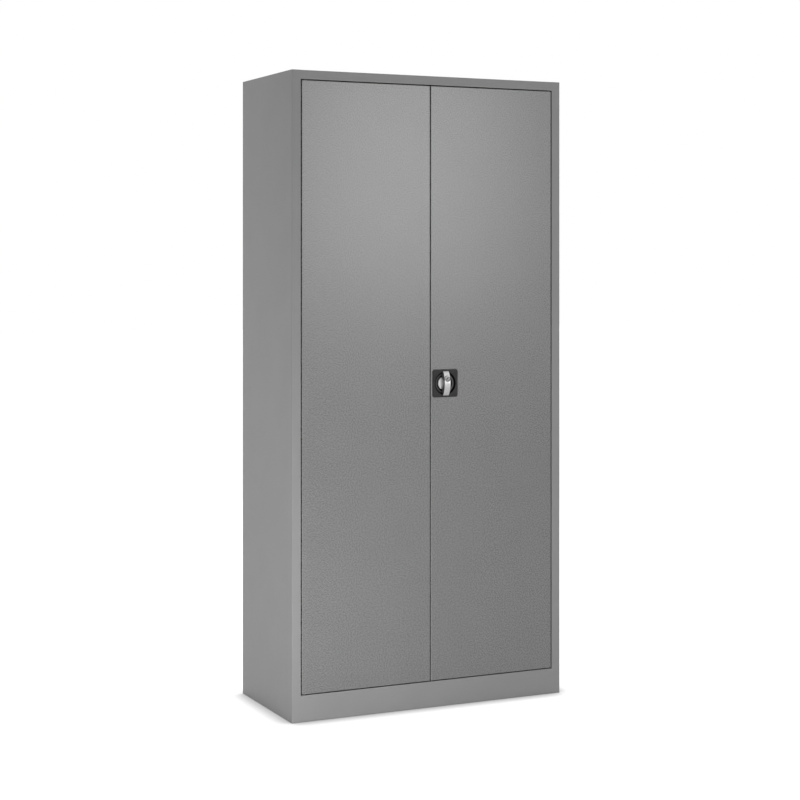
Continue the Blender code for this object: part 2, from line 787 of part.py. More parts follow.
def build_handle_plate(door, material):
    middle = (0, 0, PLATE_FRONT - PLATE_THICKNESS / 2)
    shape = box_shape(PLATE_SIDE, PLATE_SIDE, PLATE_THICKNESS, middle)
    corners = [
        edge
        for edge in shape.edges
        if abs(edge.verts[0].co.z - edge.verts[1].co.z) > PLATE_THICKNESS / 2
    ]
    bmesh.ops.bevel(
        shape,
        geom=corners,
        offset=PLATE_CORNER,
        segments=CORNER_STEPS,
        profile=0.5,
        affect="EDGES",
    )
    mesh = mesh_from(shape, "handle_plate")
    plate = add_part("handle_plate", mesh, material, lock_place(), FACE_FRONT)
    middle_radius = BOWL_RIM_RADIUS + BOWL_WALL / 2
    opening = rod_shape(middle_radius, -CUT_OVERRUN, PLATE_FRONT + CUT_OVERRUN, BOWL_SIDES)
    tools = [add_tool("bowl_opening", mesh_from(opening, "bowl_opening"), lock_place(), FACE_FRONT)]
    cut(plate, tools[0])
    rim = PLATE_FRONT - BOWL_RIM_DROP
    profile = [
        (BOWL_RIM_RADIUS, rim),
        (BOWL_RIM_RADIUS + BOWL_WALL, rim),
        (BOWL_RIM_RADIUS + BOWL_WALL, SEAT_GAP),
        (BOWL_FLOOR_RADIUS + BOWL_WALL, BOWL_BACK),
        (HUB_RADIUS + RUN_GAP, BOWL_BACK),
        (HUB_RADIUS + RUN_GAP, BOWL_FLOOR),
        (BOWL_FLOOR_RADIUS, BOWL_FLOOR),
    ]
    bowl = add_tool("bowl", turned_mesh("bowl", profile, closed=True), lock_place(), FACE_FRONT)
    turn_profile(bowl, BOWL_SIDES)
    join(plate, bowl)
    tools.append(bowl)
    for number, sign in enumerate((-1, 1), 1):
        centre = (sign * BOSS_OFFSET, -sign * BOSS_OFFSET)
        boss_end = CASE_FLOOR + SEAT_GAP
        boss = rod_shape(BOSS_RADIUS, boss_end, SEAT_GAP + UNION_OVERLAP, ROUND_SIDES, centre)
        hole_radius = SCREW_RADIUS + SEAT_GAP
        hole_top = boss_end + SCREW_LENGTH
        hole = rod_shape(hole_radius, boss_end - CUT_OVERRUN, hole_top, ROUND_SIDES, centre)
        door_hole = rod_shape(BOSS_RADIUS + SEAT_GAP, -CUT_OVERRUN, CUT_OVERRUN, ROUND_SIDES, centre)
        for made, name in ((boss, "boss"), (hole, "boss_hole"), (door_hole, "door_boss_hole")):
            name = f"{name}_{number}"
            tools.append(add_tool(name, mesh_from(made, name), lock_place(), FACE_FRONT))
        join(plate, tools[-3])
        cut(plate, tools[-2])
        cut(door, tools[-1])
    bowl_radius = BOWL_RIM_RADIUS + BOWL_WALL + SEAT_GAP
    door_hole = rod_shape(bowl_radius, -CUT_OVERRUN, CUT_OVERRUN, BOWL_SIDES)
    mesh = mesh_from(door_hole, "door_bowl_hole")
    tools.append(add_tool("door_bowl_hole", mesh, lock_place(), FACE_FRONT))
    cut(door, tools[-1])
    return [plate] + tools


def grip_out(up, sunk=0):
    """How far the bowed front of the grip stands out at this height."""
    fall = GRIP_RADIUS - math.sqrt(GRIP_RADIUS**2 - up**2)
    return PLATE_FRONT + GRIP_RISE_MIDDLE - fall - sunk


def grip_front(low, high, sunk=0):
    """Points along the bowed front, from high to low."""
    ups = [high + (low - high) * step / GRIP_STEPS for step in range(GRIP_STEPS + 1)]
    return [(up, grip_out(up, sunk)) for up in ups]


def across_grip(mesh):
    """Stands a flat outline up, so that its first axis runs up the grip and its second out."""
    mesh.transform(Matrix(((0, 0, 1), (1, 0, 0), (0, 1, 0))).to_4x4())
    return mesh


def grip_mesh():
    """The grip's side outline, as wide as the grip is at each height."""
    half = GRIP_LENGTH / 2
    shoulder = BOWL_RIM_RADIUS - GRIP_RIM_INSET
    end_back = PLATE_FRONT + GRIP_END_CLEARANCE
    back = PLATE_FRONT - GRIP_SINK
    slope_end = shoulder - (end_back - back)
    neck_top = GRIP_NECK_HALF + GRIP_NECK_FILLET
    lower_half = [
        (-half, end_back),
        (-shoulder, end_back),
        (-slope_end, back),
        (-neck_top, back),
        (-GRIP_NECK_HALF, back - GRIP_NECK_FILLET),
        (-GRIP_NECK_HALF, DISC_FRONT - UNION_OVERLAP),
    ]
    upper_half = [(-up, out) for up, out in reversed(lower_half)]
    outline = grip_front(-half, half) + lower_half + upper_half
    mesh = flat_outline("turn_handle", outline, GRIP_WIDTH_MIDDLE)
    across_grip(mesh)
    narrowing = GRIP_WIDTH_END / GRIP_WIDTH_MIDDLE - 1
    for vert in mesh.vertices:
        vert.co.x *= 1 + narrowing * (vert.co.y / half) ** 2
    soften_grip(mesh)
    return mesh


def soften_grip(mesh):
    """Rounds the grip's edges where they stand out of the plate."""
    shape = bmesh.new()
    shape.from_mesh(mesh)
    edges = [
        edge
        for edge in shape.edges
        if edge.calc_face_angle() > BEVEL_ANGLE and min(v.co.z for v in edge.verts) > PLATE_FRONT
    ]
    bmesh.ops.bevel(
        shape,
        geom=edges,
        offset=GRIP_EDGE,
        segments=FOLD_STEPS,
        profile=0.5,
        affect="EDGES",
    )
    shape.to_mesh(mesh)
    shape.free()


def build_turn_handle(material):
    handle = add_part("turn_handle", grip_mesh(), material, lock_place(), FACE_FRONT)
    disc = [
        (0, DISC_FRONT),
        (DISC_RADIUS, DISC_FRONT),
        (DISC_RADIUS, DISC_BACK),
        (HUB_RADIUS, DISC_BACK),
        (HUB_RADIUS, HUB_END),
        (0, HUB_END),
    ]
    spur_end = CRANK_BACK + SEAT_GAP
    spur_start = HUB_END + UNION_OVERLAP
    pocket_floor = PLATE_FRONT - GRIP_SINK + CYLINDER_FLOOR
    pocket_radius = CYLINDER_RADIUS + SEAT_GAP
    high = HANDLE_PROUD + CUT_OVERRUN
    centre = (0, CYLINDER_OFFSET)
    panel_high = CYLINDER_OFFSET - CYLINDER_RADIUS - GRIP_PANEL_END
    panel_low = GRIP_PANEL_END - GRIP_LENGTH / 2
    panel = grip_front(panel_low, panel_high, GRIP_PANEL_DEPTH)
    panel += [(up, out + GRIP_PANEL_DEPTH + CUT_OVERRUN) for up, out in reversed(panel)]
    pocket = rod_shape(pocket_radius, pocket_floor, high, CYLINDER_SIDES, centre)
    tail_radius = TAIL_RADIUS + RUN_GAP
    tail_hole = rod_shape(tail_radius, DISC_BACK - CUT_OVERRUN, high, ROUND_SIDES, centre)
    screw_radius = SPINDLE_SCREW_RADIUS + SEAT_GAP
    spindle_hole = rod_shape(screw_radius, spur_end - CUT_OVERRUN, spur_end + SCREW_LENGTH)
    shapes = (
        ("disc", turned_mesh("disc", disc), join),
        ("spur", mesh_from(spur_shape(spur_end, spur_start), "spur"), join),
        ("pocket", mesh_from(pocket, "pocket"), cut),
        ("tail_hole", mesh_from(tail_hole, "tail_hole"), cut),
        ("grip_panel", across_grip(flat_outline("grip_panel", panel, GRIP_PANEL_WIDTH)), cut),
        ("spindle_hole", mesh_from(spindle_hole, "spindle_hole"), cut),
    )
    made = [handle]
    for name, mesh, change in shapes:
        tool = add_tool(name, mesh, lock_place(), FACE_FRONT)
        if name == "disc":
            turn_profile(tool, BOWL_SIDES)
        change(handle, tool)
        made.append(tool)
    return made


def spur_shape(low, high, clearance=0):
    side = SPUR_SIDE + 2 * clearance
    return box_shape(side, side, high - low, (0, 0, (low + high) / 2))


def build_cylinder(steel, plug_metal):
    """The lock cylinder's barrel, and the plug that turns in it with its tail."""
    face = grip_out(CYLINDER_OFFSET)
    back = PLATE_FRONT - GRIP_SINK + CYLINDER_FLOOR + SEAT_GAP
    bore = PLUG_RADIUS + RUN_GAP
    barrel_profile = [
        (bore, face),
        (CYLINDER_RADIUS, face),
        (CYLINDER_RADIUS, back),
        (bore, back),
    ]
    place = lock_place(0, CYLINDER_OFFSET)
    barrel_mesh = turned_mesh("lock_cylinder", barrel_profile, closed=True)
    barrel = add_part("lock_cylinder", barrel_mesh, steel, place, FACE_FRONT)
    turn_profile(barrel, CYLINDER_SIDES)
    plug_face = face - PLUG_RECESS
    plug_profile = [
        (0, plug_face),
        (PLUG_RADIUS, plug_face),
        (PLUG_RADIUS, back),
        (TAIL_RADIUS, back),
        (TAIL_RADIUS, DISC_BACK),
        (0, DISC_BACK),
    ]
    plug = add_part("lock_plug", turned_mesh("lock_plug", plug_profile), plug_metal, place, FACE_FRONT)
    turn_profile(plug)
    slot_middle = (0, 0, plug_face - KEY_SLOT_DEPTH / 2)
    slot = box_shape(KEY_SLOT_WIDTH, KEY_SLOT_LENGTH, KEY_SLOT_DEPTH + CUT_OVERRUN, slot_middle)
    bmesh.ops.rotate(slot, verts=slot.verts, matrix=Matrix.Rotation(KEY_SLOT_LEAN, 3, "Z"))
    key_slot = add_tool("key_slot", mesh_from(slot, "key_slot"), place, FACE_FRONT)
    cut(plug, key_slot)
    return barrel, plug, key_slot


# Lock works behind the door


def screw_mesh(name, radius, head_radius):
    """A pan-head screw whose head stands on zero and whose shank hangs below it."""
    shank = SCREW_LENGTH - CUT_OVERRUN
    profile = [
        (0, SCREW_HEAD_THICKNESS),
        (head_radius - SCREW_HEAD_THICKNESS / 2, SCREW_HEAD_THICKNESS),
        (head_radius, SCREW_HEAD_THICKNESS / 2),
        (head_radius, 0),
        (radius, 0),
        (radius, -shank),
        (0, -shank),
    ]
    return turned_mesh(name, profile)


def build_crank(steel):
    """A round plate on the spindle, with a pin for each rod and a longer one for the side bolt."""
    shape = rod_shape(CRANK_RADIUS, CRANK_BACK, CRANK_FRONT)
    crank = add_part("crank_plate", mesh_from(shape, "crank_plate"), steel, lock_place(), FACE_FRONT)
    tools = []
    pins = (
        ("upper_rod_pin", -CRANK_REST_ANGLE, ROD_BACK),
        ("side_bolt_pin", math.radians(90) - CRANK_REST_ANGLE, BOLT_BACK),
        ("lower_rod_pin", math.radians(180) - CRANK_REST_ANGLE, ROD_BACK),
    )
    for name, angle, end in pins:
        centre = (CRANK_THROW_RADIUS * math.cos(angle), CRANK_THROW_RADIUS * math.sin(angle))
        pin = rod_shape(CRANK_PIN_RADIUS, end, CRANK_BACK + UNION_OVERLAP, ROUND_SIDES // 2, centre)
        tools.append(add_tool(name, mesh_from(pin, name), lock_place(), FACE_FRONT))
        join(crank, tools[-1])
    hole = spur_shape(CRANK_BACK - CUT_OVERRUN, CRANK_FRONT + CUT_OVERRUN, SEAT_GAP)
    tools.append(add_tool("spur_hole", mesh_from(hole, "spur_hole"), lock_place(), FACE_FRONT))
    cut(crank, tools[-1])
    mesh = screw_mesh("spindle_screw", SPINDLE_SCREW_RADIUS, SPINDLE_SCREW_HEAD_RADIUS)
    place = lock_place(0, 0, CRANK_BACK - SEAT_GAP)
    screw = add_part("spindle_screw", mesh, steel, place, FACE_BACK)
    turn_profile(screw)
    return [crank, screw] + tools


def rod_outline(sign, tip):
    """A flat rod seen from the front: a fork on the crank's pin at one end, a chamfered tip at the other.

    Sign is 1 for the upper rod, to the right of the crank, and -1 for the lower one.
    """
    mouth = SPINDLE_SCREW_HEAD_RADIUS + LAYER_GAP
    pin = -PIN_AT_REST
    low = pin - FORK_HALF - FORK_PRONG
    high = pin + FORK_HALF + FORK_PRONG
    far = ROD_NEAR + ROD_WIDTH
    points = [
        (mouth, low),
        (far, low),
        (far, tip - ROD_TIP_CHAMFER),
        (far - ROD_TIP_CHAMFER, tip),
        (ROD_NEAR + ROD_TIP_CHAMFER, tip),
        (ROD_NEAR, tip - ROD_TIP_CHAMFER),
        (ROD_NEAR, high),
        (mouth, high),
        (mouth, pin + FORK_HALF),
        (ROD_NEAR, pin + FORK_HALF),
        (ROD_NEAR, pin - FORK_HALF),
        (mouth, pin - FORK_HALF),
    ]
    return [(sign * x, sign * up) for x, up in points]


def build_rods(steel):
    out = (ROD_FRONT + ROD_BACK) / 2
    upper_tip = HEADER_LIP_BOTTOM - ROD_TIP_CLEARANCE - LOCK_HEIGHT
    lower_tip = LOCK_HEIGHT - (FLOOR_TOP + ROD_TIP_CLEARANCE)
    rods = []
    for name, sign, tip in (("upper_lock_rod", 1, upper_tip), ("lower_lock_rod", -1, lower_tip)):
        mesh = flat_outline(name, rod_outline(sign, tip), ROD_THICKNESS)
        rods.append(add_part(name, mesh, steel, lock_place(0, 0, out), FACE_FRONT))
    return rods


def side_bolt_span():
    """The side bolt's lowest and highest edge above the lock's centre."""
    low = PIN_AT_REST - CRANK_PIN_RADIUS - 2 * FORK_CLEARANCE - FORK_PRONG
    return low, low + BOLT_WIDTH + FORK_PRONG


def build_side_bolt(steel):
    low, high = side_bolt_span()
    tip = BOLT_TIP_FROM_EDGE - LOCK_BACKSET
    head = PIN_AT_REST + FORK_HALF + BOLT_WALL
    middle = ((tip + head) / 2, (low + high) / 2, 0)
    shape = box_shape(head - tip, high - low, ROD_THICKNESS, middle)
    out = (BOLT_FRONT + BOLT_BACK) / 2
    bolt = add_part("side_bolt", mesh_from(shape, "side_bolt"), steel, lock_place(0, 0, out), FACE_FRONT)
    slot_low = PIN_AT_REST - FORK_HALF
    slot_high = CRANK_THROW_RADIUS + FORK_HALF
    slot = box_shape(
        2 * FORK_HALF,
        slot_high - slot_low,
        ROD_THICKNESS + 2 * CUT_OVERRUN,
        (PIN_AT_REST, (slot_low + slot_high) / 2, 0),
    )
    cutter = add_tool("bolt_slot", mesh_from(slot, "bolt_slot"), lock_place(0, 0, out), FACE_FRONT)
    cut(bolt, cutter)
    return bolt, cutter


def build_case(steel):
    """A shallow box over the crank, open towards the door."""
    depth = CASE_RIM - CASE_BACK
    shape = box_shape(CASE_SIDE, CASE_SIDE, depth, (0, 0, (CASE_RIM + CASE_BACK) / 2))
    shape.faces.ensure_lookup_table()
    front = max(shape.faces, key=lambda face: face.calc_center_median().z)
    bmesh.ops.delete(shape, geom=[front], context="FACES_ONLY")
    case = add_part("lock_case", mesh_from(shape, "lock_case"), steel, lock_place(), FACE_FRONT)
    thicken(case, CASE_WALL)
    rod_slot = (ROD_WIDTH + 2 * LAYER_GAP, 2 * CASE_WALL + CUT_OVERRUN, ROD_THICKNESS + 2 * LAYER_GAP)
    rod_out = (ROD_FRONT + ROD_BACK) / 2
    half = CASE_SIDE / 2
    low, high = side_bolt_span()
    bolt_slot = (2 * CASE_WALL + CUT_OVERRUN, high - low + 2 * LAYER_GAP, ROD_THICKNESS + LAYER_GAP)
    bolt_out = (BOLT_FRONT + BOLT_BACK) / 2
    tools = []
    openings = (
        ("upper_case_slot", rod_slot, (ROD_OFFSET, half, rod_out)),
        ("lower_case_slot", rod_slot, (-ROD_OFFSET, -half, rod_out)),
        ("side_case_slot", bolt_slot, (-half, (low + high) / 2, bolt_out)),
    )
    for name, size, centre in openings:
        tools.append(add_tool(name, mesh_from(box_shape(*size, centre), name), lock_place(), FACE_FRONT))
        cut(case, tools[-1])
    screws = []
    for number, sign in enumerate((-1, 1), 1):
        x = sign * BOSS_OFFSET
        name = f"case_screw_{number}_hole"
        hole_low = CASE_BACK - CUT_OVERRUN
        hole_high = CASE_FLOOR + CUT_OVERRUN
        hole = rod_shape(SCREW_RADIUS + SEAT_GAP, hole_low, hole_high, ROUND_SIDES, (x, -x))
        tools.append(add_tool(name, mesh_from(hole, name), lock_place(), FACE_FRONT))
        cut(case, tools[-1])
        mesh = screw_mesh(f"case_screw_{number}", SCREW_RADIUS, SCREW_HEAD_RADIUS)
        place = lock_place(x, -x, CASE_BACK - SEAT_GAP)
        screw = add_part(f"case_screw_{number}", mesh, steel, place, FACE_BACK)
        turn_profile(screw)
        screws.append(screw)
    return [case] + screws + tools


def build_guides(steel):
    """A strap over each rod, on the door's end lips."""
    base = at_depth(DOOR_DEPTH + SEAT_GAP)
    bridge = FRONT_Y - ROD_BACK + LAYER_GAP
    inset = DOOR_END_LIP - FOLD_RADIUS
    guides = []
    for name, sign, low in (
        ("upper_rod_guide", 1, DOOR_TOP - inset),
        ("lower_rod_guide", -1, DOOR_BOTTOM + inset - STRAP_WIDTH),
    ):
        near = LOCK_X + sign * ROD_OFFSET - ROD_WIDTH / 2 - LAYER_GAP
        far = LOCK_X + sign * ROD_OFFSET + ROD_WIDTH / 2 + LAYER_GAP
        line = [
            (near - STRAP_FLANGE, base),
            (near, base),
            (near, bridge),
            (far, bridge),
            (far, base),
            (far + STRAP_FLANGE, base),
        ]
        high = low + STRAP_WIDTH
        guides.append(folded_sheet(name, line, "Z", low, high, steel, STRAP_SHEET, 0))
    return guides


def build_keeper(steel):
    """The staple on the left door that the side bolt slides into."""
    base = at_depth(DOOR_DEPTH + SEAT_GAP)
    bridge = FRONT_Y - BOLT_BACK + LAYER_GAP
    low, high = (LOCK_HEIGHT + edge for edge in side_bolt_span())
    low -= LAYER_GAP
    high += LAYER_GAP
    line = [
        (base, high + STRAP_FLANGE),
        (base, high),
        (bridge, high),
        (bridge, low),
        (base, low),
        (base, low - STRAP_FLANGE),
    ]
    right = -(DOOR_GAP / 2 + FOLD_RADIUS)
    return folded_sheet("bolt_keeper", line, "X", right - KEEPER_WIDTH, right, steel, STRAP_SHEET, 0)


def build_cupboard():
    frame_paint = make_material("frame_paint", (0.255, 0.255, 0.255), 0.5, 0.0)
    door_paint = make_material("door_paint", (0.235, 0.235, 0.235), 0.5, 0.0)
    inner_paint = make_material("inner_paint", (0.255, 0.255, 0.255), 0.5, 0.0)
    plastic = make_material("black_plastic", (0.02, 0.02, 0.02), 0.45, 0.0)
    chrome = make_material("satin_silver", (0.75, 0.75, 0.75), 0.3, 1.0)
    steel = make_material("zinc_steel", (0.55, 0.56, 0.58), 0.4, 1.0)
    plug_metal = make_material("plug_metal", (0.6, 0.6, 0.6), 0.35, 1.0)
    rubber = make_material("buffer_rubber", (0.03, 0.03, 0.03), 0.8, 0.0)
    nylon = make_material("bush_nylon", (0.03, 0.03, 0.03), 0.6, 0.0)

    build_side_panels(frame_paint)
    build_back_panel(frame_paint)
    top_panel = build_top_panel(frame_paint)
    floor_pan = build_floor_pan(frame_paint)
    drill_pivots(top_panel, floor_pan)
    build_posts(inner_paint)
    build_clips(steel)
    build_shelves(inner_paint)
    build_buffers(rubber)

    moving = {}
    for side, sign in (("left", -1), ("right", 1)):
        door = build_door(side, sign, door_paint)
        pieces = [door, build_stiffener(side, sign, inner_paint)]
        pieces += build_pivots(side, sign, door, steel, nylon)
        moving[side] = pieces
    right_door = moving["right"][0]
    moving["left"].append(build_keeper(steel))
    moving["right"] += build_handle_plate(right_door, plastic)
    moving["right"] += build_case(steel)
    moving["right"] += build_guides(steel)

    y = at_depth(PIVOT_DEPTH)
    left_axis = add_axis("left_door_axis", (-PIVOT_X, y, 0))
    right_axis = add_axis("right_door_axis", (PIVOT_X, y, 0))
    handle_axis = add_axis("handle_axis", lock_place(), FACE_FRONT)
    plug_axis = add_axis("plug_axis", lock_place(0, CYLINDER_OFFSET), FACE_FRONT)

    barrel, plug, key_slot = build_cylinder(steel, plug_metal)
    carry(plug_axis, plug, key_slot)
    carry(handle_axis, barrel, *build_turn_handle(chrome), *build_crank(steel), plug_axis)
    carry(right_axis, handle_axis, *build_rods(steel), *build_side_bolt(steel), *moving["right"])
    carry(left_axis, *moving["left"])
    bpy.context.view_layer.update()


clear_scene()
PARTS = make_collection("steel_cupboard")
TOOLS = make_collection("shaping_tools")
PIN_MESH = pivot_pin_mesh()
BUSH_MESH = pivot_bush_mesh()
build_cupboard()
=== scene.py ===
"""The looks of the steel cupboard: the finish of every surface, the fine shapes, light and camera.

Metres, +Z up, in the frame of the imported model. The doors look along -Y.
"""

import json
import math

import bmesh
import bpy
from mathutils import Matrix, Vector

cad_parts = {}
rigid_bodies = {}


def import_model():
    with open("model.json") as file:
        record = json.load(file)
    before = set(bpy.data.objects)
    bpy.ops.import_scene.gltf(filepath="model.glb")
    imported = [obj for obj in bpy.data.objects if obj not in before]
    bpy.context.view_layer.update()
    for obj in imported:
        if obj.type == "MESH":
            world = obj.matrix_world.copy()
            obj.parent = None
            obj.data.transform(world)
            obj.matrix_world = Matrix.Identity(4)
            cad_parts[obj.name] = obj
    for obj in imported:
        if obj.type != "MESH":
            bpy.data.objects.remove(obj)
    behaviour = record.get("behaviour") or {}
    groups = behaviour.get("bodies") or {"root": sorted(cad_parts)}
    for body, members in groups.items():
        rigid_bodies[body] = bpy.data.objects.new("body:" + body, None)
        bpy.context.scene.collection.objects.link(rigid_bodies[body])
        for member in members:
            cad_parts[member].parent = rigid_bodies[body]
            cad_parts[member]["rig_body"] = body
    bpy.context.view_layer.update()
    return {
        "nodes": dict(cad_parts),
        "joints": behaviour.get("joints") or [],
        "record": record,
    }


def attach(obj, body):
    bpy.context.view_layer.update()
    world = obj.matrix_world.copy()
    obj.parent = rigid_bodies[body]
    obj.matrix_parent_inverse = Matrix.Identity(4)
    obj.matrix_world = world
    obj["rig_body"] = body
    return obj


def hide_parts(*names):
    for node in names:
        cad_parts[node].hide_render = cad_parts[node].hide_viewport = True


# The photograph's camera, fitted to the corners of the cupboard
CAMERA_PLACE = (-2.46617, -5.21331, 1.37037)
CAMERA_YAW = math.radians(-25.23)
CAMERA_LENS = 81.406
CAMERA_SENSOR = 36.0
CAMERA_SHIFT_Y = -0.1703
CAMERA_CLIP_END = 200

# Stage: a white floor with a narrow contact shadow, and a white world
FLOOR_SIZE = 60.0
FLOOR_COLOUR = (0.80, 0.80, 0.80)
FLOOR_ROUGHNESS = 0.9
FLOOR_GLOW = (0.50, 1.30)
FLOOR_GLOW_SHARE = 0.8
CONTACT_REACH = 0.07
CONTACT_SPAN = (0.5, 1.0)
CONTACT_SAMPLES = 16
WORLD_STRENGTH = 0.22

# Area lights: place, the point they face, size across and up, power in watts
LIGHTS = {
    "key_front_right": ((2.86, -6.60, 2.13), (0, -0.2, 1.1), (1.5, 2.1), 104),
    "low_front": ((-0.75, -1.25, 0.25), (-0.3, -0.2, 0.1), (0.6, 0.3), 7.2),
    "low_left": ((-1.45, -1.70, 0.62), (-0.4, -0.2, 0.5), (2.2, 1.2), 11.5),
    "side_left": ((-1.85, 1.60, 1.39), (-0.46, 0.0, 1.1), (2.0, 2.2), 21),
    "high_front_right": ((1.90, -2.10, 3.50), (0.2, -0.2, 1.4), (0.8, 0.8), 7.5),
    "side_right": ((4.20, 0.70, 1.90), (0.46, 0.0, 1.0), (1.6, 1.6), 80),
    "rear": ((0.60, 4.60, 2.00), (0, 0.2, 1.0), (1.6, 1.6), 90),
    "overhead": ((0.30, 0.70, 4.40), (0.3, 0.4, 0.0), (1.6, 1.6), 60),
}
# Lamps so near that their reflections would show as spots: they light, but don't reflect
FILL_LIGHTS = ("low_front", "low_left", "side_left")

# Folded sheets that are shaded anew: the node and the piece that stands for it
SHEETS = {
    "left_side_panel": "left_side_sheet",
    "right_side_panel": "right_side_sheet",
    "top_panel": "top_sheet",
    "floor_pan": "floor_sheet",
    "left_door_panel": "left_door_skin",
    "right_door_panel": "right_door_skin",
}

# Weld filler at the ends of the header and the plinth, flush with the stiles
FRONT_FACE = -0.20015
FILLER_BACK = 0.00005
FILLER_DEPTH = 0.0007
FILLER_INNER = 0.4300
FILLER_OUTER = 0.4332
FILLER_EDGE = 0.0002
FILLER_SPANS = ((0.0016, 0.0792), (1.9232, 1.9488))

# Handle plate and bowl, as distances out of the door's face and radii about the lock's centre
PLATE_HALF = 0.043
PLATE_CORNER = 0.007
PLATE_BACK = 0.0003
PLATE_FRONT = 0.0030
PLATE_EDGE = 0.0009
RIM_EDGE = 0.0007
BOWL_PROFILE = (
    (0.03575, 0.0023),
    (0.03560, -0.0020),
    (0.03490, -0.0036),
    (0.03350, -0.0043),
    (0.03200, -0.0036),
    (0.03120, -0.0022),
    (0.03050, -0.0017),
    (0.02980, -0.0018),
    (0.02640, -0.0030),
    (0.02560, -0.0036),
    (0.02500, -0.0050),
    (0.02260, -0.0104),
    (0.02170, -0.0113),
    (0.02080, -0.0114),
    (0.00840, -0.0114),
    (0.00840, -0.0134),
    (0.02350, -0.0134),
    (0.03740, -0.0052),
    (0.03775, 0.0003),
)
# Bowl faces less far out of the door than this take a darker plastic, painted shade.
BOWL_SHADE_START = 0.0015
# Cone ring faces between these radii and facing out take a lighter plastic, a painted highlight.
CONE_INNER = 0.0257
CONE_OUTER = 0.0312
CONE_FACING = -0.2
PLATE_CORNER_STEP = math.radians(1.5)
PLATE_SIDE_STEP = math.radians(4.5)
PLATE_CORNER_SPAN = math.radians(7.5)

# Turning handle
GRIP_HALF = 0.0378
GRIP_WIDTH_MIDDLE = 0.0207
GRIP_WIDTH_END = 0.0195
GRIP_FRONT_MIDDLE = 0.0197
GRIP_FRONT_END = 0.0067
GRIP_BACK_END = 0.0035
GRIP_BACK_IN_BOWL = -0.0010
GRIP_SHOULDER = 0.03245
GRIP_NECK_HALF = 0.0165
GRIP_NECK_FILLET = 0.0035
GRIP_NECK_SINK = 0.0005
GRIP_EDGE = 0.0012
GRIP_ROW_STEP = 0.0006
GRIP_CLOSE_ROW_STEP = 0.0001
GRIP_SIDE_SHARES = (0.35, 0.7)
# Places across half of the front, as shares of its flat width, close together at the panel's edge
GRIP_ACROSS_SHARES = (
    0.0, 0.07, 0.14, 0.22, 0.30, 0.36, 0.395, 0.42, 0.445, 0.47, 0.52, 0.62, 0.74, 0.87, 1.0
)
PANEL_HALF_WIDTH = 0.00415
PANEL_LOW = -0.0318
PANEL_HIGH = -0.00025
PANEL_DEPTH = 0.0006
PANEL_SLOPE = 0.0005
MARK_LOW = -0.0348
MARK_HIGH = -0.0340
MARK_INNER = 0.0008
MARK_OUTER = 0.0032
MARK_DEPTH = 0.0004
MARK_SLOPE = 0.0002
DISC_RADIUS = 0.0203
DISC_FRONT = -0.0046
DISC_BACK = -0.011
DISC_EDGE = 0.0006
DISC_MARGIN = 0.0004
HUB_RADIUS = 0.008
HUB_END = -0.0224
AXIS_RADIUS = 0.001

# Lock cylinder in the grip
CYLINDER_UP = 0.015
CYLINDER_RADIUS = 0.0087
CYLINDER_BACK = 0.0013
CYLINDER_EDGE = 0.0007
POCKET_RADIUS = 0.0096
POCKET_CAP_RADIUS = 0.0095
POCKET_FLOOR = 0.0010
POCKET_FRONT = 0.0250
PLUG_RADIUS = 0.005
PLUG_BORE = 0.0054
PLUG_EDGE = 0.0003
PLUG_RECESS = 0.0002
PLUG_CAP_RADIUS = 0.0006
TAIL_RADIUS = 0.002
KEY_SLOT = (0.0026, 0.0088, 0.0080)
KEY_SLOT_OVERRUN = 0.002
KEY_SLOT_EDGE_SHARE = 0.3
KEY_SLOT_LEAN = math.radians(-36)

# Paint: painted shade in gaps, how far a gap darkens it, and to what share of its tone
GAP_SHADE_REACH = 0.010
GAP_SHADE_TONE = 0.05
GAP_SHADE_SPAN = (0.05, 0.6)
GAP_SHADE_SAMPLES = 8
# Paint: a painted highlight on folds, set by the largest part of the normal, from the middle of a
# fold to the flat beside it
FOLD_HIGHLIGHT_SPAN = (0.82, 0.98)
# Paint: noise scales of the speckle, the clouds and the orange peel
COARSE_GRAIN = 310
FINE_GRAIN = 1500
COARSE_SHARE = 0.8
CLOUD_SCALE = 9
CLOUD_DEPTH = 0.02
PEEL_SCALE = 900
# The part of a noise's range that most of its values fill
NOISE_SPAN = (0.3, 0.7)

# Meshing
SHEET_ANGLE = math.radians(50)
CASTING_ANGLE = math.radians(40)
FLAT_ANGLE = math.radians(0.5)
FLAT_WEIGHT = 80
WELD_DISTANCE = 0.000005
ROUND_SIDES = 64
EDGE_STEPS = 4
ANGLE_MARGIN = 0.000001


# Materials


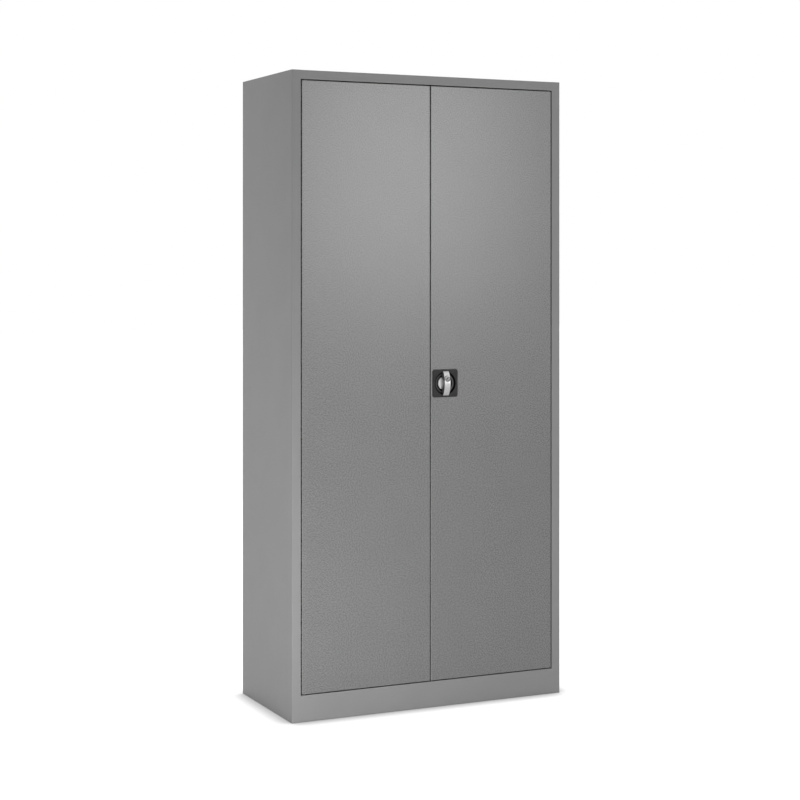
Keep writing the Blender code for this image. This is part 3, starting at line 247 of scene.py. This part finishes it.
class Look:
    """A Principled material and the nodes that feed it."""

    def __init__(self, name, colour, roughness, metallic=0.0, specular=0.5):
        self.material = bpy.data.materials.new(name)
        self.material.use_nodes = True
        self.tree = self.material.node_tree
        self.shader = self.tree.nodes["Principled BSDF"]
        self.colour = colour
        self.roughness = roughness
        self.shader.inputs["Base Color"].default_value = (*colour, 1)
        self.shader.inputs["Roughness"].default_value = roughness
        self.shader.inputs["Metallic"].default_value = metallic
        self.shader.inputs["Specular IOR Level"].default_value = specular
        self.place = self.node("ShaderNodeTexCoord").outputs["Object"]

    def node(self, kind, **settings):
        made = self.tree.nodes.new(kind)
        for key, value in settings.items():
            setattr(made, key, value)
        return made

    def link(self, source, target):
        self.tree.links.new(source, target)

    def stretched(self, factors):
        """The object's own coordinates, scaled along each axis."""
        mapping = self.node("ShaderNodeMapping")
        mapping.inputs["Scale"].default_value = factors
        self.link(self.place, mapping.inputs["Vector"])
        return mapping.outputs["Vector"]

    def noise(self, scale, detail=2.0, place=None, roughness=0.5):
        texture = self.node("ShaderNodeTexNoise")
        texture.inputs["Scale"].default_value = scale
        texture.inputs["Detail"].default_value = detail
        texture.inputs["Roughness"].default_value = roughness
        self.link(place or self.place, texture.inputs["Vector"])
        return texture.outputs["Fac"]

    def remap(self, value, low, high, to_low, to_high):
        ramp = self.node("ShaderNodeMapRange")
        limits = {"From Min": low, "From Max": high, "To Min": to_low, "To Max": to_high}
        for socket, number in limits.items():
            ramp.inputs[socket].default_value = number
        self.link(value, ramp.inputs["Value"])
        return ramp.outputs["Result"]

    def math(self, operation, first, second):
        made = self.node("ShaderNodeMath", operation=operation)
        for socket, value in zip(made.inputs, (first, second)):
            if isinstance(value, (int, float)):
                socket.default_value = value
            else:
                self.link(value, socket)
        return made.outputs["Value"]

    def tint(self, factor):
        """Multiplies the base colour by a factor that varies over the surface."""
        scaled = self.node("ShaderNodeVectorMath", operation="SCALE")
        scaled.inputs[0].default_value = self.colour
        self.link(factor, scaled.inputs["Scale"])
        self.link(scaled.outputs["Vector"], self.shader.inputs["Base Color"])

    def painted_gap_shade(self, reach, darkest):
        """Painted shade: 1 on open faces and less in a gap or a sharp corner narrower than the
        reach.
        """
        open_share = self.node("ShaderNodeAmbientOcclusion", samples=GAP_SHADE_SAMPLES)
        open_share.inputs["Distance"].default_value = reach
        return self.remap(open_share.outputs["AO"], *GAP_SHADE_SPAN, darkest, 1.0)

    def painted_fold_highlight(self, tone):
        """Painted highlight: 1 on flat faces, and the lighter tone where the surface turns round a
        fold.
        """
        normal = self.node("ShaderNodeVectorMath", operation="ABSOLUTE")
        self.link(self.node("ShaderNodeTexCoord").outputs["Normal"], normal.inputs[0])
        parts = self.node("ShaderNodeSeparateXYZ")
        self.link(normal.outputs["Vector"], parts.inputs["Vector"])
        largest = self.math("MAXIMUM", parts.outputs["X"], parts.outputs["Y"])
        largest = self.math("MAXIMUM", largest, parts.outputs["Z"])
        return self.remap(largest, *FOLD_HIGHLIGHT_SPAN, tone, 1.0)

    def vary_roughness(self, value, spread):
        low, high = self.roughness - spread, self.roughness + spread
        self.link(self.remap(value, *NOISE_SPAN, low, high), self.shader.inputs["Roughness"])

    def blend(self, first, second, share):
        """Two values mixed, with this share of the first."""
        first = self.math("MULTIPLY", first, share)
        second = self.math("MULTIPLY", second, 1 - share)
        return self.math("ADD", first, second)

    def bump(self, height, strength, distance):
        bump = self.node("ShaderNodeBump")
        bump.inputs["Strength"].default_value = strength
        bump.inputs["Distance"].default_value = distance
        self.link(height, bump.inputs["Height"])
        self.link(bump.outputs["Normal"], self.shader.inputs["Normal"])


def powder_coat(name, grey, roughness, speckle, texture_height, fold_highlight_tone):
    """Baked paint: a fine orange-peel surface with a speckle in its tone, a painted highlight on
    its folds and painted shade in its gaps.
    """
    look = Look(name, (grey, grey, grey), roughness)
    coarse = look.noise(COARSE_GRAIN, 1.0)
    fine = look.noise(FINE_GRAIN, 1.0)
    grain = look.blend(coarse, fine, COARSE_SHARE)
    cloud = look.noise(CLOUD_SCALE, 2.0)
    tone = look.math(
        "ADD",
        look.remap(grain, *NOISE_SPAN, 1 - speckle, 1 + speckle),
        look.remap(cloud, *NOISE_SPAN, -CLOUD_DEPTH, CLOUD_DEPTH),
    )
    # Painted highlight: the paint turns lighter round its folds.
    tone = look.math("MULTIPLY", tone, look.painted_fold_highlight(fold_highlight_tone))
    # Painted shade: the paint turns darker in gaps and sharp corners.
    look.tint(look.math("MULTIPLY", tone, look.painted_gap_shade(GAP_SHADE_REACH, GAP_SHADE_TONE)))
    look.vary_roughness(grain, 0.05)
    peel = look.noise(PEEL_SCALE, 2.0, roughness=0.6)
    look.bump(peel, 0.35, texture_height)
    return look.material


def moulded_plastic(name, grey, roughness, specular):
    """Plastic with a fine moulded grain."""
    look = Look(name, (grey, grey, grey), roughness, specular=specular)
    grain = look.noise(2600, 2.0)
    look.bump(grain, 0.4, 0.00004)
    look.vary_roughness(look.noise(60, 3.0), 0.06)
    return look.material


def plated_casting(name, grey, roughness, side_shade_tone, metallic=1.0):
    """Satin chrome on a zinc casting: a polished front with faint marks, and painted shade on its
    sideways faces.
    """
    look = Look(name, (grey, grey, grey), roughness, metallic)
    polish = look.noise(1800, 3.0, look.stretched((1.0, 1.0, 0.06)))
    cloud = look.noise(120, 2.0)
    look.vary_roughness(look.blend(polish, cloud, 0.6), 0.07)
    # Painted shade: faces turned sideways are darker.
    parts = look.node("ShaderNodeSeparateXYZ")
    look.link(look.node("ShaderNodeTexCoord").outputs["Normal"], parts.inputs["Vector"])
    sideways = look.math("ABSOLUTE", parts.outputs["X"], 0.0)
    painted_side_shade = look.remap(sideways, 0.6, 0.95, 1.0, side_shade_tone)
    look.tint(look.math("MULTIPLY", look.remap(cloud, *NOISE_SPAN, 0.96, 1.03), painted_side_shade))
    look.bump(polish, 0.12, 0.00002)
    return look.material


def zinc_plate():
    """Bright zinc: bluish, with rolled streaks and cloudy patches."""
    look = Look("zinc_steel", (0.56, 0.57, 0.59), 0.38, 1.0)
    streaks = look.noise(500, 3.0, look.stretched((1.0, 1.0, 0.08)))
    cloud = look.noise(70, 3.0)
    look.tint(look.remap(cloud, *NOISE_SPAN, 0.86, 1.08))
    look.vary_roughness(streaks, 0.1)
    look.bump(streaks, 0.1, 0.00003)
    return look.material


def plain_black(name, grey, roughness, grain_scale):
    """Rubber or nylon with a faint grain."""
    look = Look(name, (grey, grey, grey), roughness)
    grain = look.noise(grain_scale, 3.0)
    look.tint(look.remap(grain, *NOISE_SPAN, 0.85, 1.15))
    look.vary_roughness(grain, 0.06)
    look.bump(grain, 0.3, 0.00004)
    return look.material


def make_looks():
    # The last figure of each powder coat is the tone of its painted fold highlight.
    frame_paint = powder_coat("frame_paint", 0.216, 0.50, 0.02, 0.00003, 1.25)
    return {
        "frame_paint": frame_paint,
        "inner_paint": frame_paint,
        "door_paint": powder_coat("door_paint", 0.152, 0.28, 0.28, 0.00003, 2.2),
        "black_plastic": moulded_plastic("black_plastic", 0.012, 0.55, 0.30),
        # A darker copy of the black plastic for the bowl: painted shade.
        "bowl_shade_plastic": moulded_plastic("bowl_shade_plastic", 0.004, 0.70, 0.08),
        # A lighter copy of the black plastic for the cone ring in the bowl: a painted highlight.
        "cone_highlight_plastic": moulded_plastic("cone_highlight_plastic", 0.040, 0.45, 0.60),
        # The figure after the roughness is the tone of each silver's painted side shade.
        "satin_silver": plated_casting("satin_silver", 0.43, 0.44, 0.95),
        # A lighter copy of the satin silver for the disc: a painted highlight.
        "disc_lit_silver": plated_casting("disc_lit_silver", 0.80, 0.50, 0.5, 0.55),
        "plug_metal": plated_casting("plug_metal", 0.26, 0.45, 0.6),
        "zinc_steel": zinc_plate(),
        "buffer_rubber": plain_black("buffer_rubber", 0.025, 0.75, 400),
        "bush_nylon": plain_black("bush_nylon", 0.022, 0.55, 900),
    }


# Meshes


def mesh_from(shape, name):
    mesh = bpy.data.meshes.new(name)
    shape.to_mesh(mesh)
    shape.free()
    return mesh


def link_object(name, data):
    obj = bpy.data.objects.new(name, data)
    bpy.context.scene.collection.objects.link(obj)
    return obj


def add_piece(name, mesh, body, slot, *stands_for):
    """A piece that rides on a CAD body, takes a slot's finish and may stand for CAD nodes."""
    obj = link_object(name, mesh)
    mesh.materials.clear()
    mesh.materials.append(LOOKS[slot])
    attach(obj, body)
    if stands_for:
        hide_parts(*stands_for)
    return obj


def out_of_door(place):
    """Turns (right, up, out) about the lock's centre into the model's frame."""
    right, up, out = place
    return Vector((LOCK.x + right, LOCK.y - out, LOCK.z + up))


def quarter_turn():
    """The angles of the steps that round an edge."""
    return [math.pi / 2 * step / EDGE_STEPS for step in range(EDGE_STEPS + 1)]


def shade(mesh, angle=SHEET_ANGLE):
    mesh.shade_smooth()
    mesh.set_sharp_from_angle(angle=angle)


def ring_mesh(name, rings, closed=True, capped=False):
    """Skins rings of points, each a closed loop of the same length, with quads."""
    shape = bmesh.new()
    loops = [[shape.verts.new(out_of_door(point)) for point in ring] for ring in rings]
    pairs = list(zip(loops, loops[1:]))
    if closed:
        pairs.append((loops[-1], loops[0]))
    for first, second in pairs:
        for a, b, c, d in zip(first, second, second[1:] + second[:1], first[1:] + first[:1]):
            shape.faces.new((a, b, c, d))
    if capped:
        shape.faces.new(loops[0])
        shape.faces.new(loops[-1])
    bmesh.ops.recalc_face_normals(shape, faces=shape.faces)
    if shape.calc_volume(signed=True) < 0:
        bmesh.ops.reverse_faces(shape, faces=shape.faces)
    return mesh_from(shape, name)


def turned(name, profile, up=0.0, sides=ROUND_SIDES, closed=True):
    """A closed profile of (radius, out) turned about an axis that runs out of the door."""
    rings = []
    for radius, out in profile:
        angles = [2 * math.pi * step / sides for step in range(sides)]
        rings.append([(radius * math.cos(a), up + radius * math.sin(a), out) for a in angles])
    return ring_mesh(name, rings, closed, capped=not closed)


def rounded_square(half, corner, angles):
    """Where rays at these angles cross a square with round corners."""
    points = []
    inner = half - corner
    for angle in angles:
        x, y = math.cos(angle), math.sin(angle)
        reach = half / max(abs(x), abs(y))
        if min(abs(x), abs(y)) * reach > inner:
            across = inner * (abs(x) + abs(y))
            reach = across + math.sqrt(across**2 - (2 * inner**2 - corner**2))
        points.append((reach * x, reach * y))
    return points


def plate_angles():
    """Directions round the plate, close together at its corners."""
    angles = []
    angle = 0.0
    while angle < math.pi / 2 - ANGLE_MARGIN:
        angles.append(angle)
        near_corner = abs(angle - math.pi / 4) < PLATE_CORNER_SPAN
        angle += PLATE_CORNER_STEP if near_corner else PLATE_SIDE_STEP
    return [quarter * math.pi / 2 + angle for quarter in range(4) for angle in angles]


def build_bezel():
    """The square plate and its bowl, skinned from the plate's back over its front into the bowl."""
    angles = plate_angles()
    rings = []

    def square_ring(inset, out):
        points = rounded_square(PLATE_HALF - inset, PLATE_CORNER - inset, angles)
        rings.append([(x, y, out) for x, y in points])

    def round_ring(radius, out):
        rings.append([(radius * math.cos(a), radius * math.sin(a), out) for a in angles])

    square_ring(0, PLATE_BACK)
    for turn in quarter_turn():
        inset = PLATE_EDGE * (1 - math.cos(turn))
        square_ring(inset, PLATE_FRONT - PLATE_EDGE * (1 - math.sin(turn)))
    rim = BOWL_PROFILE[0][0]
    for turn in quarter_turn():
        radius = rim + RIM_EDGE * (1 - math.sin(turn))
        round_ring(radius, PLATE_FRONT - RIM_EDGE * (1 - math.cos(turn)))
    for radius, out in BOWL_PROFILE[1:]:
        round_ring(radius, out)
    mesh = ring_mesh("handle_bezel", rings)
    shade(mesh, CASTING_ANGLE)
    add_piece("handle_bezel", mesh, "right_door", "black_plastic", "handle_plate")
    mesh.materials.append(LOOKS["bowl_shade_plastic"])
    mesh.materials.append(LOOKS["cone_highlight_plastic"])
    # Faces deep in the bowl take the darker plastic, painted shade.
    for face in mesh.polygons:
        radius = math.hypot(face.center.x - LOCK.x, face.center.z - LOCK.z)
        if face.center.y > LOCK.y - BOWL_SHADE_START and radius < BOWL_PROFILE[0][0]:
            # The cone ring takes the lighter plastic, a painted highlight.
            on_cone = CONE_INNER < radius < CONE_OUTER and face.normal.y < CONE_FACING
            face.material_index = 2 if on_cone else 1


def smooth_step(value, low, high):
    share = min(1.0, max(0.0, (value - low) / (high - low)))
    return share * share * (3 - 2 * share)


def grip_front(up):
    """How far the bowed front of the grip stands out of the door at this height."""
    rise = GRIP_FRONT_MIDDLE - GRIP_FRONT_END
    radius = (GRIP_HALF**2 + rise**2) / (2 * rise)
    return GRIP_FRONT_MIDDLE - radius + math.sqrt(radius**2 - up**2)


def grip_back(up):
    """The grip's back: over the plate at its ends, down in the bowl, then down its neck."""
    far = abs(up)
    drop = GRIP_BACK_END - GRIP_BACK_IN_BOWL
    back = GRIP_BACK_IN_BOWL + drop * smooth_step(far, GRIP_SHOULDER - drop, GRIP_SHOULDER)
    half_fillet = GRIP_NECK_FILLET / 2
    neck = 1 - smooth_step(far, GRIP_NECK_HALF - half_fillet, GRIP_NECK_HALF + half_fillet)
    return back + (DISC_FRONT - GRIP_NECK_SINK - back) * neck


def grip_sunk(across, up):
    """Depth of the shallow panel and of the two short marks below it, at a point of the front."""
    inside = min(PANEL_HALF_WIDTH - abs(across), up - PANEL_LOW, PANEL_HIGH - up)
    depth = PANEL_DEPTH * smooth_step(inside, 0, PANEL_SLOPE)
    beside = min(abs(across) - MARK_INNER, MARK_OUTER - abs(across))
    mark = min(beside, up - MARK_LOW, MARK_HIGH - up)
    return depth + MARK_DEPTH * smooth_step(mark, -MARK_SLOPE, MARK_SLOPE)


def grip_rows():
    """Heights of the grip's sections, with closer ones where its form changes."""
    count = round(2 * GRIP_HALF / GRIP_ROW_STEP)
    rows = {round(-GRIP_HALF + 2 * GRIP_HALF * step / count, 6) for step in range(count + 1)}
    for edge in (PANEL_LOW, PANEL_HIGH, MARK_LOW, MARK_HIGH):
        rows |= {round(edge + shift * GRIP_CLOSE_ROW_STEP, 6) for shift in (-3, -1, 1, 3, 5)}
    return sorted(rows)


def grip_section(up, shrink):
    """One closed section, counter-clockwise from the left of its back, pulled in by shrink."""
    share = (up / GRIP_HALF) ** 2
    half = (GRIP_WIDTH_MIDDLE + (GRIP_WIDTH_END - GRIP_WIDTH_MIDDLE) * share) / 2 - shrink
    front = grip_front(up) - shrink
    back = min(grip_back(up) + shrink, front - 2 * GRIP_EDGE)
    flat = half - GRIP_EDGE
    points = [(-half, up, back), (-half / 3, up, back), (half / 3, up, back), (half, up, back)]
    points += [(half, up, back + (front - GRIP_EDGE - back) * part) for part in GRIP_SIDE_SHARES]
    corner = quarter_turn()
    points += [
        (flat + GRIP_EDGE * math.cos(turn), up, front - GRIP_EDGE + GRIP_EDGE * math.sin(turn))
        for turn in corner
    ]
    inner = GRIP_ACROSS_SHARES[1:-1]
    for part in (*reversed(inner), GRIP_ACROSS_SHARES[0], *(-share for share in inner)):
        across = part * flat
        points.append((across, up, front - grip_sunk(across, up)))
    points += [
        (-flat - GRIP_EDGE * math.sin(turn), up, front - GRIP_EDGE + GRIP_EDGE * math.cos(turn))
        for turn in corner
    ]
    points += [
        (-half, up, back + (front - GRIP_EDGE - back) * part)
        for part in reversed(GRIP_SIDE_SHARES)
    ]
    return points


def build_grip():
    """The bowed grip with soft edges, its disc and hub, and the pocket of the lock cylinder."""
    rows = [up for up in grip_rows() if abs(up) <= GRIP_HALF - GRIP_EDGE]
    ends = [
        (GRIP_HALF - GRIP_EDGE * (1 - math.sin(turn)), GRIP_EDGE * (1 - math.cos(turn)))
        for turn in quarter_turn()[1:]
    ]
    rings = [grip_section(-up, shrink) for up, shrink in reversed(ends)]
    rings += [grip_section(up, 0) for up in rows]
    rings += [grip_section(up, shrink) for up, shrink in ends]
    solid = ring_mesh("turning_grip", rings, closed=False, capped=True)
    grip = bpy.data.objects.new("grip", solid)
    disc = turned(
        "disc",
        (
            (AXIS_RADIUS, DISC_FRONT),
            (DISC_RADIUS - DISC_EDGE, DISC_FRONT),
            (DISC_RADIUS - DISC_EDGE / 3, DISC_FRONT - DISC_EDGE / 3),
            (DISC_RADIUS, DISC_FRONT - DISC_EDGE),
            (DISC_RADIUS, DISC_BACK),
            (HUB_RADIUS, DISC_BACK),
            (HUB_RADIUS, HUB_END),
            (AXIS_RADIUS, HUB_END),
        ),
        closed=False,
    )
    pocket = turned(
        "pocket",
        (
            (POCKET_CAP_RADIUS, POCKET_FLOOR),
            (POCKET_RADIUS, POCKET_FLOOR),
            (POCKET_RADIUS, POCKET_FRONT),
            (POCKET_CAP_RADIUS, POCKET_FRONT),
        ),
        CYLINDER_UP,
        closed=False,
    )
    mesh = combined(grip, (disc, "UNION"), (pocket, "DIFFERENCE"))
    mesh.name = "turning_grip"
    shade(mesh, CASTING_ANGLE)
    add_piece("turning_grip", mesh, "handle", "satin_silver", "turn_handle")
    # The disc's faces take the lighter copy of the silver, a painted highlight.
    mesh.materials.append(LOOKS["disc_lit_silver"])
    for face in mesh.polygons:
        on_disc = face.center.y > LOCK.y + abs(DISC_FRONT) - DISC_MARGIN
        face.material_index = 1 if on_disc else 0


def combined(base, *tools):
    """The mesh of an object after exact Booleans with other meshes. None of the objects stays."""
    bpy.context.scene.collection.objects.link(base)
    helpers = [base]
    for mesh, operation in tools:
        tool = link_object(mesh.name, mesh)
        helpers.append(tool)
        modifier = base.modifiers.new(mesh.name, "BOOLEAN")
        modifier.operation = operation
        modifier.object = tool
    bpy.context.view_layer.update()
    graph = bpy.context.evaluated_depsgraph_get()
    mesh = bpy.data.meshes.new_from_object(base.evaluated_get(graph))
    for helper in helpers:
        bpy.data.objects.remove(helper)
    return mesh


def build_lock():
    """The cylinder's barrel with a softened rim, and the plug with its leaning key slot."""
    face = grip_front(CYLINDER_UP)
    edge = CYLINDER_EDGE
    barrel = turned(
        "lock_barrel",
        (
            (PLUG_BORE, face - PLUG_EDGE),
            (PLUG_BORE + PLUG_EDGE, face),
            (CYLINDER_RADIUS - edge, face),
            (CYLINDER_RADIUS - edge * 0.3, face - edge * 0.3),
            (CYLINDER_RADIUS, face - edge),
            (CYLINDER_RADIUS, CYLINDER_BACK),
            (PLUG_BORE, CYLINDER_BACK),
        ),
        CYLINDER_UP,
    )
    shade(barrel, CASTING_ANGLE)
    add_piece("lock_barrel", barrel, "handle", "plug_metal", "lock_cylinder")
    plug_face = face - PLUG_RECESS
    plug = turned(
        "lock_core",
        (
            (PLUG_CAP_RADIUS, plug_face),
            (PLUG_RADIUS - PLUG_EDGE, plug_face),
            (PLUG_RADIUS, plug_face - PLUG_EDGE),
            (PLUG_RADIUS, CYLINDER_BACK),
            (TAIL_RADIUS, CYLINDER_BACK),
            (TAIL_RADIUS, DISC_BACK),
            (PLUG_CAP_RADIUS, DISC_BACK),
        ),
        CYLINDER_UP,
        closed=False,
    )
    width, length, depth = KEY_SLOT
    shape = bmesh.new()
    made = bmesh.ops.create_cube(shape, size=1)
    bmesh.ops.scale(shape, verts=made["verts"], vec=(width, length, depth + KEY_SLOT_OVERRUN))
    bmesh.ops.bevel(
        shape,
        geom=[e for e in shape.edges if abs(e.verts[0].co.z - e.verts[1].co.z) > depth / 2],
        offset=width * KEY_SLOT_EDGE_SHARE,
        segments=3,
        profile=0.5,
        affect="EDGES",
    )
    bmesh.ops.rotate(shape, verts=shape.verts, matrix=Matrix.Rotation(KEY_SLOT_LEAN, 3, "Z"))
    centre = Vector((0, CYLINDER_UP, plug_face + KEY_SLOT_OVERRUN / 2 - depth / 2))
    for vert in shape.verts:
        vert.co = out_of_door(vert.co + centre)
    bmesh.ops.recalc_face_normals(shape, faces=shape.faces)
    slot = mesh_from(shape, "key_slot")
    core = combined(bpy.data.objects.new("core", plug), (slot, "DIFFERENCE"))
    core.name = "lock_core"
    shade(core, CASTING_ANGLE)
    add_piece("lock_core", core, "plug", "plug_metal", "lock_plug")


def refine_sheet(node, name):
    """A folded sheet with the CAD node's own shape and evenly shaded folds."""
    source = NODES[node]
    shape = bmesh.new()
    shape.from_mesh(source.data)
    bmesh.ops.remove_doubles(shape, verts=shape.verts, dist=WELD_DISTANCE)
    bmesh.ops.dissolve_limit(
        shape, angle_limit=FLAT_ANGLE, verts=shape.verts, edges=shape.edges
    )
    mesh = mesh_from(shape, name)
    shade(mesh)
    piece = add_piece(name, mesh, source["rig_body"], SLOTS[node], node)
    normals = piece.modifiers.new("flat_faces", "WEIGHTED_NORMAL")
    normals.keep_sharp = True
    normals.weight = FLAT_WEIGHT


def build_fillers():
    """Painted weld filler that closes the seams between the stiles and the header and plinth."""
    shape = bmesh.new()
    for side in (-1, 1):
        for low, high in FILLER_SPANS:
            made = bmesh.ops.create_cube(shape, size=1)
            size = (FILLER_OUTER - FILLER_INNER, FILLER_DEPTH, high - low)
            centre = (
                side * (FILLER_INNER + FILLER_OUTER) / 2,
                FRONT_FACE + FILLER_BACK + FILLER_DEPTH / 2,
                (low + high) / 2,
            )
            bmesh.ops.scale(shape, verts=made["verts"], vec=size)
            bmesh.ops.translate(shape, verts=made["verts"], vec=centre)
    bmesh.ops.bevel(
        shape,
        geom=shape.edges[:],
        offset=FILLER_EDGE,
        segments=2,
        profile=0.5,
        affect="EDGES",
    )
    mesh = mesh_from(shape, "corner_fillers")
    shade(mesh)
    add_piece("corner_fillers", mesh, "carcass", "frame_paint")


# Stage


def build_camera():
    data = bpy.data.cameras.new("camera")
    data.sensor_width = CAMERA_SENSOR
    data.lens = CAMERA_LENS
    data.shift_y = CAMERA_SHIFT_Y
    data.clip_end = CAMERA_CLIP_END
    camera = link_object("camera", data)
    camera.location = CAMERA_PLACE
    camera.rotation_euler = (math.radians(90), 0, CAMERA_YAW)
    bpy.context.scene.camera = camera


def seen_directly(tree):
    """1 where a ray comes from the camera, a reflection or a clear material, else 0."""
    path = tree.nodes.new("ShaderNodeLightPath")
    total = path.outputs["Is Camera Ray"]
    for name in ("Is Glossy Ray", "Is Transmission Ray"):
        largest = tree.nodes.new("ShaderNodeMath")
        largest.operation = "MAXIMUM"
        tree.links.new(total, largest.inputs[0])
        tree.links.new(path.outputs[name], largest.inputs[1])
        total = largest.outputs[0]
    return total


def build_world():
    world = bpy.data.worlds.new("studio")
    world.use_nodes = True
    bpy.context.scene.world = world
    tree = world.node_tree
    lit = tree.nodes["Background"]
    lit.inputs["Color"].default_value = (1, 1, 1, 1)
    lit.inputs["Strength"].default_value = WORLD_STRENGTH
    shown = tree.nodes.new("ShaderNodeBackground")
    shown.inputs["Color"].default_value = (1, 1, 1, 1)
    shown.inputs["Strength"].default_value = 1.0
    mix = tree.nodes.new("ShaderNodeMixShader")
    tree.links.new(seen_directly(tree), mix.inputs[0])
    tree.links.new(lit.outputs[0], mix.inputs[1])
    tree.links.new(shown.outputs[0], mix.inputs[2])
    tree.links.new(mix.outputs[0], tree.nodes["World Output"].inputs["Surface"])


def build_lights():
    for name, (place, target, size, power) in LIGHTS.items():
        data = bpy.data.lights.new(name, "AREA")
        data.shape = "RECTANGLE"
        data.size, data.size_y = size
        data.energy = power
        lamp = link_object(name, data)
        lamp.visible_camera = False
        lamp.visible_glossy = name not in FILL_LIGHTS
        lamp.location = place
        facing = Vector(target) - Vector(place)
        lamp.rotation_euler = facing.to_track_quat("-Z", "Y").to_euler()


def build_floor():
    """A pale floor that shows as white, darker only close to what stands on it."""
    shape = bmesh.new()
    bmesh.ops.create_grid(shape, x_segments=1, y_segments=1, size=FLOOR_SIZE / 2)
    mesh = mesh_from(shape, "floor")
    look = Look("floor_white", FLOOR_COLOUR, FLOOR_ROUGHNESS)
    mesh.materials.append(look.material)
    near = look.node("ShaderNodeAmbientOcclusion", samples=CONTACT_SAMPLES)
    near.inputs["Distance"].default_value = CONTACT_REACH
    glow = look.node("ShaderNodeEmission")
    strength = look.remap(near.outputs["AO"], *CONTACT_SPAN, *FLOOR_GLOW)
    look.link(strength, glow.inputs["Strength"])
    shown = look.node("ShaderNodeMixShader")
    shown.inputs[0].default_value = FLOOR_GLOW_SHARE
    mix = look.node("ShaderNodeMixShader")
    look.link(look.shader.outputs[0], shown.inputs[1])
    look.link(glow.outputs[0], shown.inputs[2])
    look.link(seen_directly(look.tree), mix.inputs[0])
    look.link(look.shader.outputs[0], mix.inputs[1])
    look.link(shown.outputs[0], mix.inputs[2])
    look.link(mix.outputs[0], look.tree.nodes["Material Output"].inputs["Surface"])
    link_object("floor", mesh)


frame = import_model()
NODES = frame["nodes"]
SLOTS = {item["node"]: item["material_slot"] for item in frame["record"]["subparts"]}
JOINTS = {joint["name"]: joint for joint in frame["joints"]}
LOCK = Vector(JOINTS["handle_turn"]["pos_m"])
LOOKS = make_looks()
for node_name, slot_name in SLOTS.items():
    NODES[node_name].data.materials.clear()
    NODES[node_name].data.materials.append(LOOKS[slot_name])

build_camera()
build_world()
build_lights()
build_floor()
build_bezel()
build_grip()
build_lock()
build_fillers()
for node_name, piece_name in SHEETS.items():
    refine_sheet(node_name, piece_name)

bpy.context.scene.view_settings.view_transform = "Standard"
